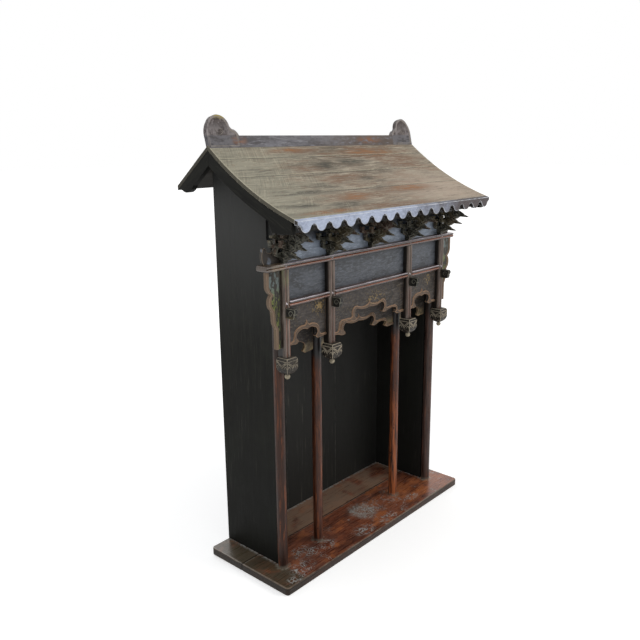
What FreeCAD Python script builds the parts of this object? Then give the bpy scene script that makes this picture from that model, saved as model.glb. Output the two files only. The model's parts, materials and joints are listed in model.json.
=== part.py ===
"""Household altar shrine, shaped like the front bay of a small timber temple.

A two-plank base carries a hollow box of two side walls and a back wall.  Four
turned columns stand in the open front.  Above them a frieze of beaded rails,
hanging posts, plain panels and cusped aprons carries five bracket clusters,
which hold up the front eave of a dished roof.

Axes: X to the right seen from the front, Y to the back, Z up.  The origin is
the middle of the underside of the base.  Lengths are in millimetres.
"""
import FreeCAD, Part
import math
import os

# Fits
seat_gap = 0.3            # play left where a piece is seated on a round or dished face
same_point = 1e-5         # outline points closer than this count as one

# Base, two planks side by side
base_overhang = 67.0      # past the outer faces of the side walls
base_depth = 313.0
base_thickness = 23.3
base_seam_y = 25.0        # joint between the front and the back plank
base_corner = 10.0        # plan radius of the four corners

# Box
wall_span = 716.0         # over the outer faces of the side walls
wall_thickness = 12.0
box_depth = 212.5         # from the back edge of the base to the front of the walls
back_thickness = 18.0

# Columns
column_radius = 14.0
inner_column_shift = 6.0  # outwards from the middle of the hanging post in front
inner_column_advance = 4.0  # backwards from the front of the walls
outer_column_inset = 3.0  # from the outer face of the wall to the middle of the column
outer_column_height = 847.2
lintel_drop = 159.2       # from the upper rail to the underside of the lintel
lintel_height = 60.0
lintel_thickness = 18.0
inner_apron_thickness = 10.0
inner_apron_drop = 49.0   # how far the inner aprons hang below the front ones

# Frieze
bay_post_x = 181.0        # middle of the inner hanging posts
end_post_inset = 1.0      # from the outer face of the wall to the middle of the outer posts
post_width = 23.0
post_depth = 25.0
post_bead_depth = 5.0     # how far the rounded beads stand out from the posts
rail_bead_depth = 3.6     # the same on the rails, whose beads are narrower
rail_nose = 6.0           # rounding of the two free ends of the upper rail
upper_rail_height = 15.5
upper_rail_depth = 38.0
upper_rail_overhang = 67.0  # past the middle of the outer posts
lower_rail_height = 15.0
frieze_height = 82.0
panel_thickness = 6.0
apron_thickness = 11.5
apron_height = 107.5      # from the lower rail down to the feet
rim_rise = 2.5            # how far the carved rims stand out from the aprons and wings
left_foot_extra = 8.0     # the left foot of the middle apron was cut longer

# Wings beyond the outer posts
wing_thickness = 11.5
wing_width = 50.0
wing_foot = 20.5
wing_drop = 202.5
wing_set_back = 7.5       # from the front of the posts to the rim of the wings
wing_rim = 8.0

# Pendants and beam ends
post_drop = 227.0         # from the upper rail to the top of a pendant
pendant_width = 40.0
pendant_height = 46.5
bead_width = 12.0
bead_height = 13.5
beam_end_width = 12.0
beam_end_height = 27.0
beam_end_length = 32.0

# Roof
gable_overhang = 77.5     # past the outer faces of the side walls
roof_thickness = 9.0
ridge_set_back = 134.0    # from the front of the walls to the ridge
ridge_rise = 286.0        # from the upper rail to the ridge
eave_reach = 304.5        # from the ridge to the front face of the eave board
eave_drop = 167.5
roof_dish = 17.0          # how far the front slope sags below a straight line
rear_overhang = 51.0      # of the rear slope past the back edge of the base
rear_slope = 0.788        # drop of the rear slope for each millimetre back
barge_thickness = 15.0
barge_depth = 39.0
barge_set_back = 9.0      # from the back of the eave board to the front end of the bargeboard
barge_foot_length = 64.0
barge_foot_drop = 33.0    # from the top of the eave to the flat foot of the bargeboard
barge_foot_rake = 12.0    # how far the back of the foot leans
rear_lobe_length = 66.0
rear_lobe_drop = 17.0

# Eave board with drip-tile teeth
fascia_thickness = 12.0
tooth_count = 16
tooth_height = 19.5
fascia_height = 28.5      # from the top of the eave to the points of the teeth

# Ridge
ridge_board_thickness = 14.0
ridge_board_height = 23.0
ridge_end_length = 104.0
ridge_end_height = 74.0
ridge_end_inset = 0.5     # from the outer face of a bargeboard to the end of the crest
ridge_lean = 13.0         # degrees that the ridge board and its ends lean back

# Cove board and brackets
cove_thickness = 8.0
cove_overhang = 18.0      # past the outer faces of the side walls
cove_set_back = 18.0      # from the front of the rail to the front of the cove board
cove_ear = 46.0
cove_ear_height = 43.0
cheek_inset = 8.0         # from the outer face of the wall to the outer face of the cheek
cheek_thickness = 10.0
notch_depth = 15.0        # cut back in the front edge of each wall beside the brackets
notch_foot = 53.0         # from the top of the upper rail to the foot of the notch
bracket_foot_height = 16.5
bracket_foot_width = 30.0
tier_pitch = 22.5
arm_height = 12.0
arm_thickness = 9.0
arm_spreads = (34.0, 50.0, 44.0)   # half lengths of the cross arms, from the lowest tier up
row_step = 21.0           # from one row of cross arms to the next one in front
row_shortening = 16.0     # how much shorter the cross arms are in each row further out
beak_reach = 47.0         # lowest beak in front of the rail
beak_step = 21.5
beak_length = 44.0
beak_height = 15.0
beak_sag = 1.0            # how far the beaks' tips hang below the arms
purlin_width = 18.0
purlin_set_back = 65.5    # from the front of the eave board to the front of the purlin
purlin_rise = 7.5         # from the top arms to the underside of the purlin

# Places worked out from the sizes above
wall_outer_x = wall_span / 2
wall_inner_x = wall_outer_x - wall_thickness
base_side_x = wall_outer_x + base_overhang
base_top = base_thickness
base_back_y = base_depth / 2
wall_front_y = base_back_y - box_depth
end_post_x = wall_outer_x - end_post_inset
outer_column_x = wall_outer_x - outer_column_inset
outer_column_y = wall_front_y - column_radius - seat_gap
inner_column_x = bay_post_x + inner_column_shift
inner_column_y = wall_front_y + inner_column_advance
frieze_back_y = outer_column_y - column_radius - seat_gap
frieze_front_y = frieze_back_y - post_depth
rail_bottom = base_top + outer_column_height
rail_top = rail_bottom + upper_rail_height
upper_rail_end = end_post_x + upper_rail_overhang
panel_bottom = rail_bottom - frieze_height
lower_rail_bottom = panel_bottom - lower_rail_height
apron_foot = lower_rail_bottom - apron_height
lintel_bottom = rail_bottom - lintel_drop
pendant_top = rail_bottom - post_drop
pendant_y = frieze_back_y - pendant_width / 2 - seat_gap
ridge_y = wall_front_y + ridge_set_back
ridge_z = rail_top + ridge_rise
eave_y = ridge_y - eave_reach
eave_z = ridge_z - eave_drop
rear_y = base_back_y + rear_overhang
rear_z_end = ridge_z - rear_slope * (rear_y - ridge_y)
roof_front_y = eave_y + fascia_thickness
barge_front_y = roof_front_y + barge_set_back
barge_outer_x = wall_outer_x + gable_overhang
barge_inner_x = barge_outer_x - barge_thickness
ridge_end_x = barge_outer_x - ridge_end_inset
cove_front_y = frieze_front_y + cove_set_back
bracket_y = (frieze_front_y + cove_front_y) / 2
purlin_front_y = eave_y + purlin_set_back
cluster_top = rail_top + bracket_foot_height + (len(arm_spreads) - 1) * tier_pitch + arm_height

# Half outlines of the arches, from the middle out, above the feet: the cut edge and
# the upper edge of the carved rim along it.  The last width is where the post stands.
narrow_half = 76.5
narrow_edge = [
    (0, 31.5),
    ((15.0, 35.5), (29.0, 32.0)),
    ((38.5, 26.0), (40.5, 14.5)),
    (33.0, 6.5),
    ((40.0, 0.4), (49.0, 0.6)),
    (narrow_half, 2.0),
]
narrow_rim = [
    (0, 55.5),
    (3.6, 47.6),
    (9.0, 43.5),
    ((26.0, 43.5), (40.0, 38.0)),
    (47.0, 31.0),
    (48.5, 19.0),
    (51.5, 10.0),
    (60.0, 7.0),
    (narrow_half, 7.5),
]
wide_half = 169.5
wide_edge = [
    (0, 46.5),
    ((22.0, 43.5), (52.0, 48.5)),
    ((67.5, 45.0), (69.5, 30.0)),
    (60.5, 20.0),
    ((70.0, 16.5), (82.0, 18.0)),
    ((104.0, 23.5), (122.0, 21.5)),
    ((130.5, 18.0), (131.0, 10.0)),
    (125.0, 6.0),
    ((133.0, 0.8), (146.0, -0.6)),
    (wide_half, 0.5),
]
wide_rim = [
    (0, 63.5),
    (2.2, 58.4),
    (5.0, 55.5),
    ((28.0, 50.0), (54.0, 55.0)),
    ((73.0, 53.5), (80.0, 41.0)),
    (79.5, 29.5),
    (87.0, 26.5),
    (96.0, 28.0),
    (126.0, 28.0),
    (135.5, 22.5),
    (138.5, 11.0),
    (146.0, 5.5),
    (wide_half, 6.0),
]


def vector(x, y, z):
    """Return a point."""
    return FreeCAD.Vector(x, y, z)


def box(x1, x2, y1, y2, z1, z2):
    """Return a plain block between two corners."""
    return Part.makeBox(x2 - x1, y2 - y1, z2 - z1, vector(x1, y1, z1))


def is_arc(step):
    """Tell whether an outline step is an arc, given by a point on it and its end."""
    return isinstance(step[0], tuple)


def outline(steps, place):
    """Return a face from an outline of straight and round stretches.

    Each step is a point, which a straight line reaches, or a pair of points,
    through and to, which an arc reaches.  place turns a flat point into space.
    """
    edges = []
    start = place(*steps[0])
    first = start
    for step in steps[1:]:
        if is_arc(step):
            middle, end = place(*step[0]), place(*step[1])
            edges.append(Part.Arc(start, middle, end).toShape())
        else:
            end = place(*step)
            if start.distanceToPoint(end) < same_point:
                continue
            edges.append(Part.LineSegment(start, end).toShape())
        start = end
    if start.distanceToPoint(first) > same_point:
        edges.append(Part.LineSegment(start, first).toShape())
    return Part.Face(Part.Wire(edges))


def side_plate(steps, x1, x2):
    """Extrude an outline of (y, z) points from x1 to x2."""
    face = outline(steps, lambda y, z: vector(x1, y, z))
    return face.extrude(vector(x2 - x1, 0, 0))


def front_plate(steps, y1, y2):
    """Extrude an outline of (x, z) points from y1 to y2."""
    face = outline(steps, lambda x, z: vector(x, y1, z))
    return face.extrude(vector(0, y2 - y1, 0))


def plan_plate(steps, z1, z2):
    """Extrude an outline of (x, y) points from z1 to z2."""
    face = outline(steps, lambda x, y: vector(x, y, z1))
    return face.extrude(vector(0, 0, z2 - z1))


def mirrored(shape):
    """Return the same piece on the other side of the middle."""
    return shape.mirror(vector(0, 0, 0), vector(1, 0, 0))


def changed_steps(steps, change):
    """Return an outline with every point put through change."""
    return [tuple(change(*point) for point in step) if is_arc(step) else change(*step) for step in steps]


def reversed_steps(steps):
    """Return an outline run the other way."""
    ends = [step[1] if is_arc(step) else step for step in steps]
    back = [ends[-1]]
    for index in range(len(steps) - 1, 0, -1):
        end = ends[index - 1]
        back.append((steps[index][0], end) if is_arc(steps[index]) else end)
    return back


def mirrored_steps(half):
    """Complete a half outline, from the middle outwards, with its mirror image."""
    return changed_steps(reversed_steps(half), lambda x, z: (-x, z)) + half[1:]


# Dished roof
chord = math.hypot(eave_reach, eave_drop)
dish_radius = chord ** 2 / (8 * roof_dish) + roof_dish / 2
chord_angle = math.atan2(eave_drop, eave_reach)
dish_centre_y = (ridge_y + eave_y) / 2 - (dish_radius - roof_dish) * math.sin(chord_angle)
dish_centre_z = (ridge_z + eave_z) / 2 + (dish_radius - roof_dish) * math.cos(chord_angle)
rear_angle = math.atan(rear_slope)


def front_z(y, depth):
    """Height of the front slope at y, a given depth below its top face."""
    return dish_centre_z - math.sqrt((dish_radius + depth) ** 2 - (y - dish_centre_y) ** 2)


def rear_z(y, depth):
    """Height of the rear slope at y, a given depth below its top face."""
    return ridge_z - depth / math.cos(rear_angle) - (y - ridge_y) * math.tan(rear_angle)


def front_arc(y1, y2, depth):
    """Outline step along the front slope from y1 to y2."""
    middle = (y1 + y2) / 2
    return (middle, front_z(middle, depth)), (y2, front_z(y2, depth))


def under_roof(depth):
    """Return all the space lower than a given depth below the roof's top faces."""
    far_front, far_back = eave_y - base_depth, rear_y + base_depth
    steps = [
        (far_front, 0),
        (far_front, front_z(eave_y, depth)),
        (eave_y, front_z(eave_y, depth)),
        front_arc(eave_y, ridge_y, depth),
        (ridge_y, rear_z(ridge_y, depth)),
        (far_back, rear_z(far_back, depth)),
        (far_back, 0),
    ]
    return side_plate(steps, -2 * barge_outer_x, 2 * barge_outer_x)


def base_plank(y1, y2, corner_y):
    """One plank of the base, with its outer corners rounded in plan."""
    x = base_side_x
    inward = base_corner if corner_y == y1 else -base_corner
    cut = base_corner * (1 - math.sqrt(0.5))
    cut_y = cut if corner_y == y1 else -cut
    other_y = y2 if corner_y == y1 else y1
    steps = [
        (-x, other_y),
        (x, other_y),
        (x, corner_y + inward),
        ((x - cut, corner_y + cut_y), (x - base_corner, corner_y)),
        (-x + base_corner, corner_y),
        ((-x + cut, corner_y + cut_y), (-x, corner_y + inward)),
    ]
    return plan_plate(steps, 0, base_top)


def side_wall():
    """Right side wall, whose top edge follows the underside of the roof."""
    notch_z = rail_top + notch_foot
    steps = [
        (base_back_y, base_top),
        (base_back_y, ridge_z),
        (wall_front_y + notch_depth, ridge_z),
        (wall_front_y + notch_depth, notch_z),
        (wall_front_y, notch_z),
        (wall_front_y, base_top),
    ]
    return side_plate(steps, wall_inner_x, wall_outer_x).common(under_roof(roof_thickness + seat_gap))


def cheek():
    """Right cheek, which closes the gap between the wall and the cove board."""
    outer = wall_outer_x - cheek_inset
    back_y = wall_front_y + notch_depth
    steps = [
        (cove_front_y + cove_thickness, rail_top),
        (wall_front_y, rail_top),
        (wall_front_y, rail_top + notch_foot),
        (back_y, rail_top + notch_foot),
        (back_y, ridge_z),
        (cove_front_y + cove_thickness, ridge_z),
    ]
    return side_plate(steps, outer - cheek_thickness, outer).common(under_roof(roof_thickness + seat_gap))


def back_wall():
    """Back wall between the side walls, up to the rear slope."""
    block = box(-wall_inner_x, wall_inner_x, base_back_y - back_thickness, base_back_y, base_top, ridge_z)
    return block.common(under_roof(roof_thickness + seat_gap))


def column(x, y, top):
    """Round column standing on the base."""
    return Part.makeCylinder(column_radius, top - base_top, vector(x, y, base_top))


def lintel():
    """Beam from wall to wall over the inner columns."""
    back = wall_front_y + lintel_thickness
    return box(-wall_inner_x, wall_inner_x, wall_front_y, back, lintel_bottom, lintel_bottom + lintel_height)


def roof_front():
    """Dished front slope, a board of even thickness."""
    steps = [
        (ridge_y, ridge_z),
        front_arc(ridge_y, roof_front_y, 0),
        (roof_front_y, front_z(roof_front_y, roof_thickness)),
        front_arc(roof_front_y, ridge_y, roof_thickness),
    ]
    return side_plate(steps, -barge_outer_x, barge_outer_x)


def roof_rear():
    """Short straight rear slope."""
    steps = [
        (ridge_y, ridge_z),
        (rear_y, rear_z_end),
        (rear_y, rear_z(rear_y, roof_thickness)),
        (ridge_y, rear_z(ridge_y, roof_thickness)),
    ]
    return side_plate(steps, -barge_outer_x, barge_outer_x)


def front_barge():
    """Right front bargeboard, with a flat foot under the eave."""
    top = roof_thickness + seat_gap
    foot_back = barge_front_y + barge_foot_length
    heel = foot_back + barge_foot_rake
    foot_z = eave_z - barge_foot_drop
    steps = [
        (ridge_y, front_z(ridge_y, top)),
        front_arc(ridge_y, barge_front_y, top),
        (barge_front_y, foot_z),
        (foot_back, foot_z),
        (heel, front_z(heel, barge_depth)),
        front_arc(heel, ridge_y, barge_depth),
    ]
    return side_plate(steps, barge_inner_x, barge_outer_x)


def rear_barge():
    """Right rear bargeboard, which ends in two small lobes."""
    top = roof_thickness + seat_gap
    lobe_start = rear_y - rear_lobe_length
    lobe_z = rear_z(lobe_start, barge_depth)
    lobe_foot = lobe_z - rear_lobe_drop
    steps = [
        (ridge_y, rear_z(ridge_y, top)),
        (rear_y, rear_z(rear_y, top)),
        ((rear_y - 0.18 * rear_lobe_length, lobe_z - 0.7 * rear_lobe_drop), (rear_y - 0.38 * rear_lobe_length, lobe_foot)),
        ((rear_y - 0.73 * rear_lobe_length, lobe_foot), (lobe_start, lobe_z)),
        (ridge_y, rear_z(ridge_y, barge_depth)),
    ]
    return side_plate(steps, barge_inner_x, barge_outer_x)


def fascia():
    """Eave board cut into a row of rounded teeth with notches like pointed arches."""
    pitch = 2 * barge_outer_x / tooth_count
    point_z = eave_z - fascia_height
    notch_z = point_z + tooth_height
    shoulder, side = notch_z - 0.22 * tooth_height, notch_z - 0.62 * tooth_height
    steps = [(-barge_outer_x, ridge_z), (-barge_outer_x, notch_z)]
    for tooth in range(tooth_count):
        left = -barge_outer_x + tooth * pitch
        right = left + pitch
        steps += [
            (left + 0.155 * pitch, shoulder),
            (left + 0.235 * pitch, side),
            ((left + 0.5 * pitch, point_z), (right - 0.235 * pitch, side)),
            (right - 0.155 * pitch, shoulder),
            (right, notch_z),
        ]
    steps.append((barge_outer_x, ridge_z))
    return front_plate(steps, eave_y, roof_front_y).common(under_roof(0))


def leaning(shape):
    """Lean a piece of the ridge back and seat it over the roof's apex."""
    shape.rotate(vector(0, ridge_y, ridge_z), vector(1, 0, 0), -ridge_lean)
    return shape.cut(under_roof(-seat_gap))


def ridge_board():
    """Plain ridge board between the end pieces."""
    half = ridge_board_thickness / 2
    end = ridge_end_x - ridge_end_length
    foot = ridge_z - ridge_board_thickness
    return leaning(box(-end, end, ridge_y - half, ridge_y + half, foot, ridge_z + ridge_board_height))


def ridge_end():
    """Right end piece of the ridge, a cloud-shaped crest."""
    half = ridge_board_thickness / 2
    reach, length, height = ridge_end_x, ridge_end_length, ridge_end_height
    shoulder = ridge_z + ridge_board_height
    rise = height - ridge_board_height
    steps = [
        (reach - length, ridge_z - ridge_board_thickness),
        (reach - length, shoulder),
        ((reach - 0.94 * length, shoulder + 0.19 * rise), (reach - 0.86 * length, shoulder + 0.3 * rise)),
        ((reach - 0.78 * length, shoulder + 0.36 * rise), (reach - 0.73 * length, shoulder + 0.54 * rise)),
        ((reach - 0.65 * length, shoulder + 0.82 * rise), (reach - 0.52 * length, shoulder + 0.98 * rise)),
        ((reach - 0.3 * length, shoulder + rise), (reach - 0.12 * length, shoulder + 0.72 * rise)),
        ((reach - 0.015 * length, shoulder + 0.34 * rise), (reach, ridge_z + 0.24 * height)),
        (reach, ridge_z - ridge_board_thickness),
    ]
    return leaning(front_plate(steps, ridge_y - half, ridge_y + half))


def double_bead(width, depth, place):
    """Outline steps of two rounded beads side by side, each point put in its place.

    place takes the distance across, from the middle, and the distance out.
    """
    half, quarter = width / 2, width / 4
    return [
        place(-half, 0),
        (place(-quarter, depth), place(0, 0)),
        (place(quarter, depth), place(half, 0)),
    ]


def rail(x1, x2, z, height, back_y):
    """Beaded rail between x1 and x2, with its underside at z."""
    face_y = frieze_front_y + rail_bead_depth
    middle = z + height / 2
    beads = double_bead(height, rail_bead_depth, lambda across, out: (face_y - out, middle - across))
    return side_plate([(back_y, z), (back_y, z + height)] + beads, x1, x2)


def upper_rail():
    """Upper rail, which runs on past the outer posts to rounded ends."""
    back_y = frieze_front_y + upper_rail_depth
    plain = rail(-upper_rail_end, upper_rail_end, rail_bottom, upper_rail_height, back_y)
    inner = rail_nose * (1 - math.sqrt(0.5))
    half = [
        (0, rail_bottom),
        (upper_rail_end - rail_nose, rail_bottom),
        ((upper_rail_end - inner, rail_bottom + inner), (upper_rail_end, rail_bottom + rail_nose)),
        (upper_rail_end, rail_top - rail_nose),
        ((upper_rail_end - inner, rail_top - inner), (upper_rail_end - rail_nose, rail_top)),
    ]
    return plain.common(front_plate(mirrored_steps(half), frieze_front_y, back_y))


def lower_rail():
    """Lower rail, one piece in each bay between the hanging posts."""
    pieces = []
    for left, right in bays():
        pieces.append(rail(left, right, lower_rail_bottom, lower_rail_height, frieze_back_y))
    return Part.makeCompound(pieces)


def bays():
    """Clear widths between the hanging posts, from left to right."""
    half = post_width / 2
    posts = (-end_post_x, -bay_post_x, bay_post_x, end_post_x)
    return [(left + half, right - half) for left, right in zip(posts, posts[1:])]


def hanging_post(x):
    """Beaded post that hangs from the upper rail."""
    face_y = frieze_front_y + post_bead_depth
    half = post_width / 2
    beads = double_bead(post_width, post_bead_depth, lambda across, out: (x + across, face_y - out))
    steps = [(x - half, frieze_back_y)] + beads + [(x + half, frieze_back_y)]
    return plan_plate(steps, pendant_top, rail_bottom)


def square_turning(x, y, z, half):
    """Piece with a square plan whose four sides follow one half profile.

    half gives (distance from the middle, height) from the middle of the bottom up.
    """
    profile = mirrored_steps(half)
    across = changed_steps(profile, lambda a, b: (x + a, z + b))
    along = changed_steps(profile, lambda a, b: (y + a, z + b))
    reach = pendant_width
    return front_plate(across, y - reach, y + reach).common(side_plate(along, x - reach, x + reach))


def pendant(x):
    """Lotus-shaped drop under a hanging post, with a small square bead below it."""
    half, bead = pendant_width / 2, bead_width / 2
    body = [
        (0, -pendant_height),
        (0.3 * half, -pendant_height),
        ((0.8 * half, -0.82 * pendant_height), (half, -0.55 * pendant_height)),
        (half, -0.14 * pendant_height),
        (0.86 * half, 0),
    ]
    drop = [
        (0, -bead_height),
        (0.25 * bead, -bead_height),
        (bead, -0.5 * bead_height),
        (0.5 * bead, 0),
    ]
    lotus = square_turning(x, pendant_y, pendant_top, body)
    return lotus.fuse(square_turning(x, pendant_y, pendant_top - pendant_height, drop)).removeSplitter()


def beam_end(x):
    """Short beam end on the front of a post, carved into two lobes."""
    half = beam_end_width / 2
    top, height = lower_rail_bottom, beam_end_height
    front = frieze_front_y - beam_end_length
    step = 0.12 * beam_end_length
    steps = [
        (frieze_front_y, top),
        (front + step, top),
        ((front, top - 0.25 * height), (front + step, top - 0.52 * height)),
        ((front + step, top - 0.78 * height), (front + 2 * step, top - height)),
        (frieze_front_y, top - height),
    ]
    return side_plate(steps, x - half, x + half)


def frieze_panel(left, right):
    """Recessed panel between two posts and the two rails."""
    return box(left, right, frieze_back_y - panel_thickness, frieze_back_y, panel_bottom, rail_bottom)


def apron(left, right, arch, foot, top, front_y, back_y, extra=0.0):
    """Board with a cusped arch cut in its lower edge and a raised rim along it.

    arch gives the half width it is drawn for and the half outlines of the cut
    edge and, where it is carved, of the rim.  extra makes the left foot longer.
    """
    drawn_half, *curves = arch
    middle, stretch = (left + right) / 2, (right - left) / 2 / drawn_half
    foot_line = 12.0

    def place(x, z):
        lower = extra if x < 0 and z < foot_line else 0
        return middle + x * stretch, foot + z - lower

    edge, *rims = [changed_steps(mirrored_steps(curve), place) for curve in curves]
    board = front_plate([(left, top)] + edge + [(right, top)], front_y + rim_rise, back_y)
    for rim in rims:
        band = front_plate(edge + reversed_steps(rim), front_y, front_y + rim_rise)
        board = board.fuse(band).removeSplitter()
    return board


def front_apron(left, right, arch, extra):
    """Apron under the lower rail, flush at its back with the frieze."""
    front_y = frieze_back_y - apron_thickness
    return apron(left, right, arch, apron_foot, lower_rail_bottom, front_y, frieze_back_y, extra)


def inner_apron(left, right, arch):
    """Lower apron between the columns, under the lintel."""
    foot = apron_foot - inner_apron_drop
    return apron(left, right, arch, foot, lintel_bottom, wall_front_y, wall_front_y + inner_apron_thickness)


def wing():
    """Right wing beyond the outer post, with a scrolled outer edge and a raised rim."""
    inner = end_post_x + post_width / 2
    outer = inner + wing_width
    rim_y = frieze_front_y + wing_set_back
    foot_x = inner + wing_foot
    foot = rail_bottom - wing_drop
    edge = [
        (outer, rail_bottom),
        (outer, rail_bottom - 0.15 * wing_drop),
        ((outer - 0.06 * wing_width, rail_bottom - 0.23 * wing_drop), (outer - 0.3 * wing_width, rail_bottom - 0.29 * wing_drop)),
        ((outer - 0.13 * wing_width, rail_bottom - 0.38 * wing_drop), (outer - 0.22 * wing_width, rail_bottom - 0.46 * wing_drop)),
        (outer - 0.36 * wing_width, rail_bottom - 0.5 * wing_drop),
        (outer - 0.4 * wing_width, rail_bottom - 0.6 * wing_drop),
        ((outer - 0.46 * wing_width, rail_bottom - 0.68 * wing_drop), (foot_x, rail_bottom - 0.73 * wing_drop)),
        (foot_x, foot),
    ]
    board = front_plate([(inner, rail_bottom)] + edge + [(inner, foot)], rim_y + rim_rise, rim_y + wing_thickness)
    inside = changed_steps(reversed_steps(edge), lambda x, z: (x - wing_rim, z))
    return board.fuse(front_plate(edge + inside, rim_y, rim_y + rim_rise)).removeSplitter()


def cove_board():
    """Board behind the brackets, from the upper rail to the roof, with ears at its foot."""
    half = wall_outer_x + cove_overhang
    steps = [
        (0, rail_top),
        (half + 0.86 * cove_ear, rail_top),
        ((half + cove_ear, rail_top + 0.35 * cove_ear_height), (half + 0.97 * cove_ear, rail_top + 0.82 * cove_ear_height)),
        ((half + 0.84 * cove_ear, rail_top + cove_ear_height), (half + 0.68 * cove_ear, rail_top + 0.78 * cove_ear_height)),
        ((half + 0.3 * cove_ear, rail_top + 0.68 * cove_ear_height), (half, rail_top + cove_ear_height)),
        (half, ridge_z),
    ]
    board = front_plate(mirrored_steps(steps), cove_front_y, cove_front_y + cove_thickness)
    return board.common(under_roof(roof_thickness + seat_gap))


def eave_purlin():
    """Beam on top of the brackets, under the front slope."""
    back_y = purlin_front_y + purlin_width
    block = box(-barge_inner_x, barge_inner_x, purlin_front_y, back_y, cluster_top + purlin_rise, ridge_z)
    return block.common(under_roof(roof_thickness + seat_gap))


def cross_arm(x, y, z, spread):
    """Bracket arm along the front, whose underside is cut up to its ends like a boat."""
    half = [
        (0, 0),
        (0.5 * spread, 0),
        (spread, 0.55 * arm_height),
        (spread, arm_height),
    ]
    steps = changed_steps(mirrored_steps(half), lambda a, b: (x + a, z + b))
    return front_plate(steps, y - arm_thickness / 2, y + arm_thickness / 2)


def beak_arm(x, z, tip_y):
    """Bracket arm to the front, which ends in a long beak with a level underside."""
    root_y = tip_y + beak_length
    tip_z = z - beak_sag
    steps = [
        (cove_front_y, z),
        (cove_front_y, z + arm_height),
        (root_y, tip_z + beak_height),
        ((tip_y + 0.5 * beak_length, tip_z + 0.6 * beak_height), (tip_y, tip_z + 0.06 * beak_height)),
        (tip_y, tip_z),
        (root_y, z),
    ]
    return side_plate(steps, x - arm_thickness / 2, x + arm_thickness / 2)


def bearing_block(x, y, z, width, height):
    """Small block that widens upwards, as brackets have under each arm."""
    half = width / 2
    return square_turning(x, y, z, [(0, 0), (0.7 * half, 0), (half, height)])


def bracket_cluster(x):
    """Three tiers of crossed arms on a bearing block, stepping out row by row.

    Each tier has a beak to the front and one row of cross arms more than the
    tier below it, and each arm carries small bearing blocks at its ends.
    """
    gap = tier_pitch - arm_height
    block = gap + 2 * seat_gap
    foot_width = min(bracket_foot_width, 2 * (cove_front_y - bracket_y))
    pieces = [bearing_block(x, bracket_y, rail_top, foot_width, bracket_foot_height)]
    for tier, spread in enumerate(arm_spreads):
        z = rail_top + bracket_foot_height + tier * tier_pitch
        pieces.append(beak_arm(x, z, frieze_front_y - beak_reach - tier * beak_step))
        for row in range(tier + 1):
            y = bracket_y - row * row_step
            reach = spread - row * row_shortening
            pieces.append(cross_arm(x, y, z, reach))
            if z + arm_height < cluster_top:
                ends = (-reach + block / 2, 0, reach - block / 2)
                pieces += [bearing_block(x + end, y, z + arm_height, block, gap) for end in ends]
        if z + arm_height < cluster_top:
            pieces.append(bearing_block(x, bracket_y - (tier + 1) * row_step, z + arm_height, block, gap))
    half = arm_thickness / 2
    pieces.append(box(x - half, x + half, purlin_front_y, cove_front_y, cluster_top - arm_height, cluster_top))
    pieces.append(bearing_block(x, purlin_front_y + purlin_width / 2, cluster_top, purlin_width, purlin_rise))
    return pieces[0].multiFuse(pieces[1:]).removeSplitter()


def build():
    """Return every piece under its name."""
    pieces = {
        "base_front_board": base_plank(-base_depth / 2, base_seam_y, -base_depth / 2),
        "base_back_board": base_plank(base_seam_y, base_back_y, base_back_y),
        "right_wall": side_wall(),
        "left_wall": mirrored(side_wall()),
        "back_wall": back_wall(),
        "right_cheek": cheek(),
        "left_cheek": mirrored(cheek()),
        "lintel": lintel(),
        "roof_front": roof_front(),
        "roof_rear": roof_rear(),
        "right_front_bargeboard": front_barge(),
        "left_front_bargeboard": mirrored(front_barge()),
        "right_rear_bargeboard": rear_barge(),
        "left_rear_bargeboard": mirrored(rear_barge()),
        "eave_board": fascia(),
        "ridge_board": ridge_board(),
        "right_ridge_end": ridge_end(),
        "left_ridge_end": mirrored(ridge_end()),
        "upper_rail": upper_rail(),
        "lower_rail": lower_rail(),
        "right_wing": wing(),
        "left_wing": mirrored(wing()),
        "cove_board": cove_board(),
        "eave_purlin": eave_purlin(),
    }
    for name, x, y, top in (
        ("outer_left_column", -outer_column_x, outer_column_y, rail_bottom),
        ("inner_left_column", -inner_column_x, inner_column_y, lintel_bottom),
        ("inner_right_column", inner_column_x, inner_column_y, lintel_bottom),
        ("outer_right_column", outer_column_x, outer_column_y, rail_bottom),
    ):
        pieces[name] = column(x, y, top)
    posts = (("outer_left", -end_post_x), ("inner_left", -bay_post_x), ("inner_right", bay_post_x), ("outer_right", end_post_x))
    for name, x in posts:
        pieces[name + "_post"] = hanging_post(x)
        pieces[name + "_pendant"] = pendant(x)
        pieces[name + "_bracket"] = bracket_cluster(x)
    pieces["middle_bracket"] = bracket_cluster(0.0)
    pieces["beam_ends"] = Part.makeCompound([beam_end(x) for name, x in posts])
    column_edge = inner_column_x + column_radius + seat_gap
    column_side = inner_column_x - column_radius - seat_gap
    inner_bays = ((-wall_inner_x, -column_edge), (-column_side, column_side), (column_edge, wall_inner_x))
    carved, plain = (narrow_half, narrow_edge, narrow_rim), (narrow_half, narrow_edge)
    wide = (wide_half, wide_edge, wide_rim)
    rows = (
        ("left", carved, plain, 0.0),
        ("middle", wide, wide, left_foot_extra),
        ("right", carved, plain, 0.0),
    )
    for (name, front_arch, inner_arch, extra), front, inner in zip(rows, bays(), inner_bays):
        pieces[name + "_panel"] = frieze_panel(*front)
        pieces[name + "_apron"] = front_apron(*front, front_arch, extra)
        pieces[name + "_inner_apron"] = inner_apron(*inner, inner_arch)
    return pieces


os.makedirs("parts", exist_ok=True)
for node, shape in build().items():
    shape.exportStep("parts/" + node + ".step")
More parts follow.
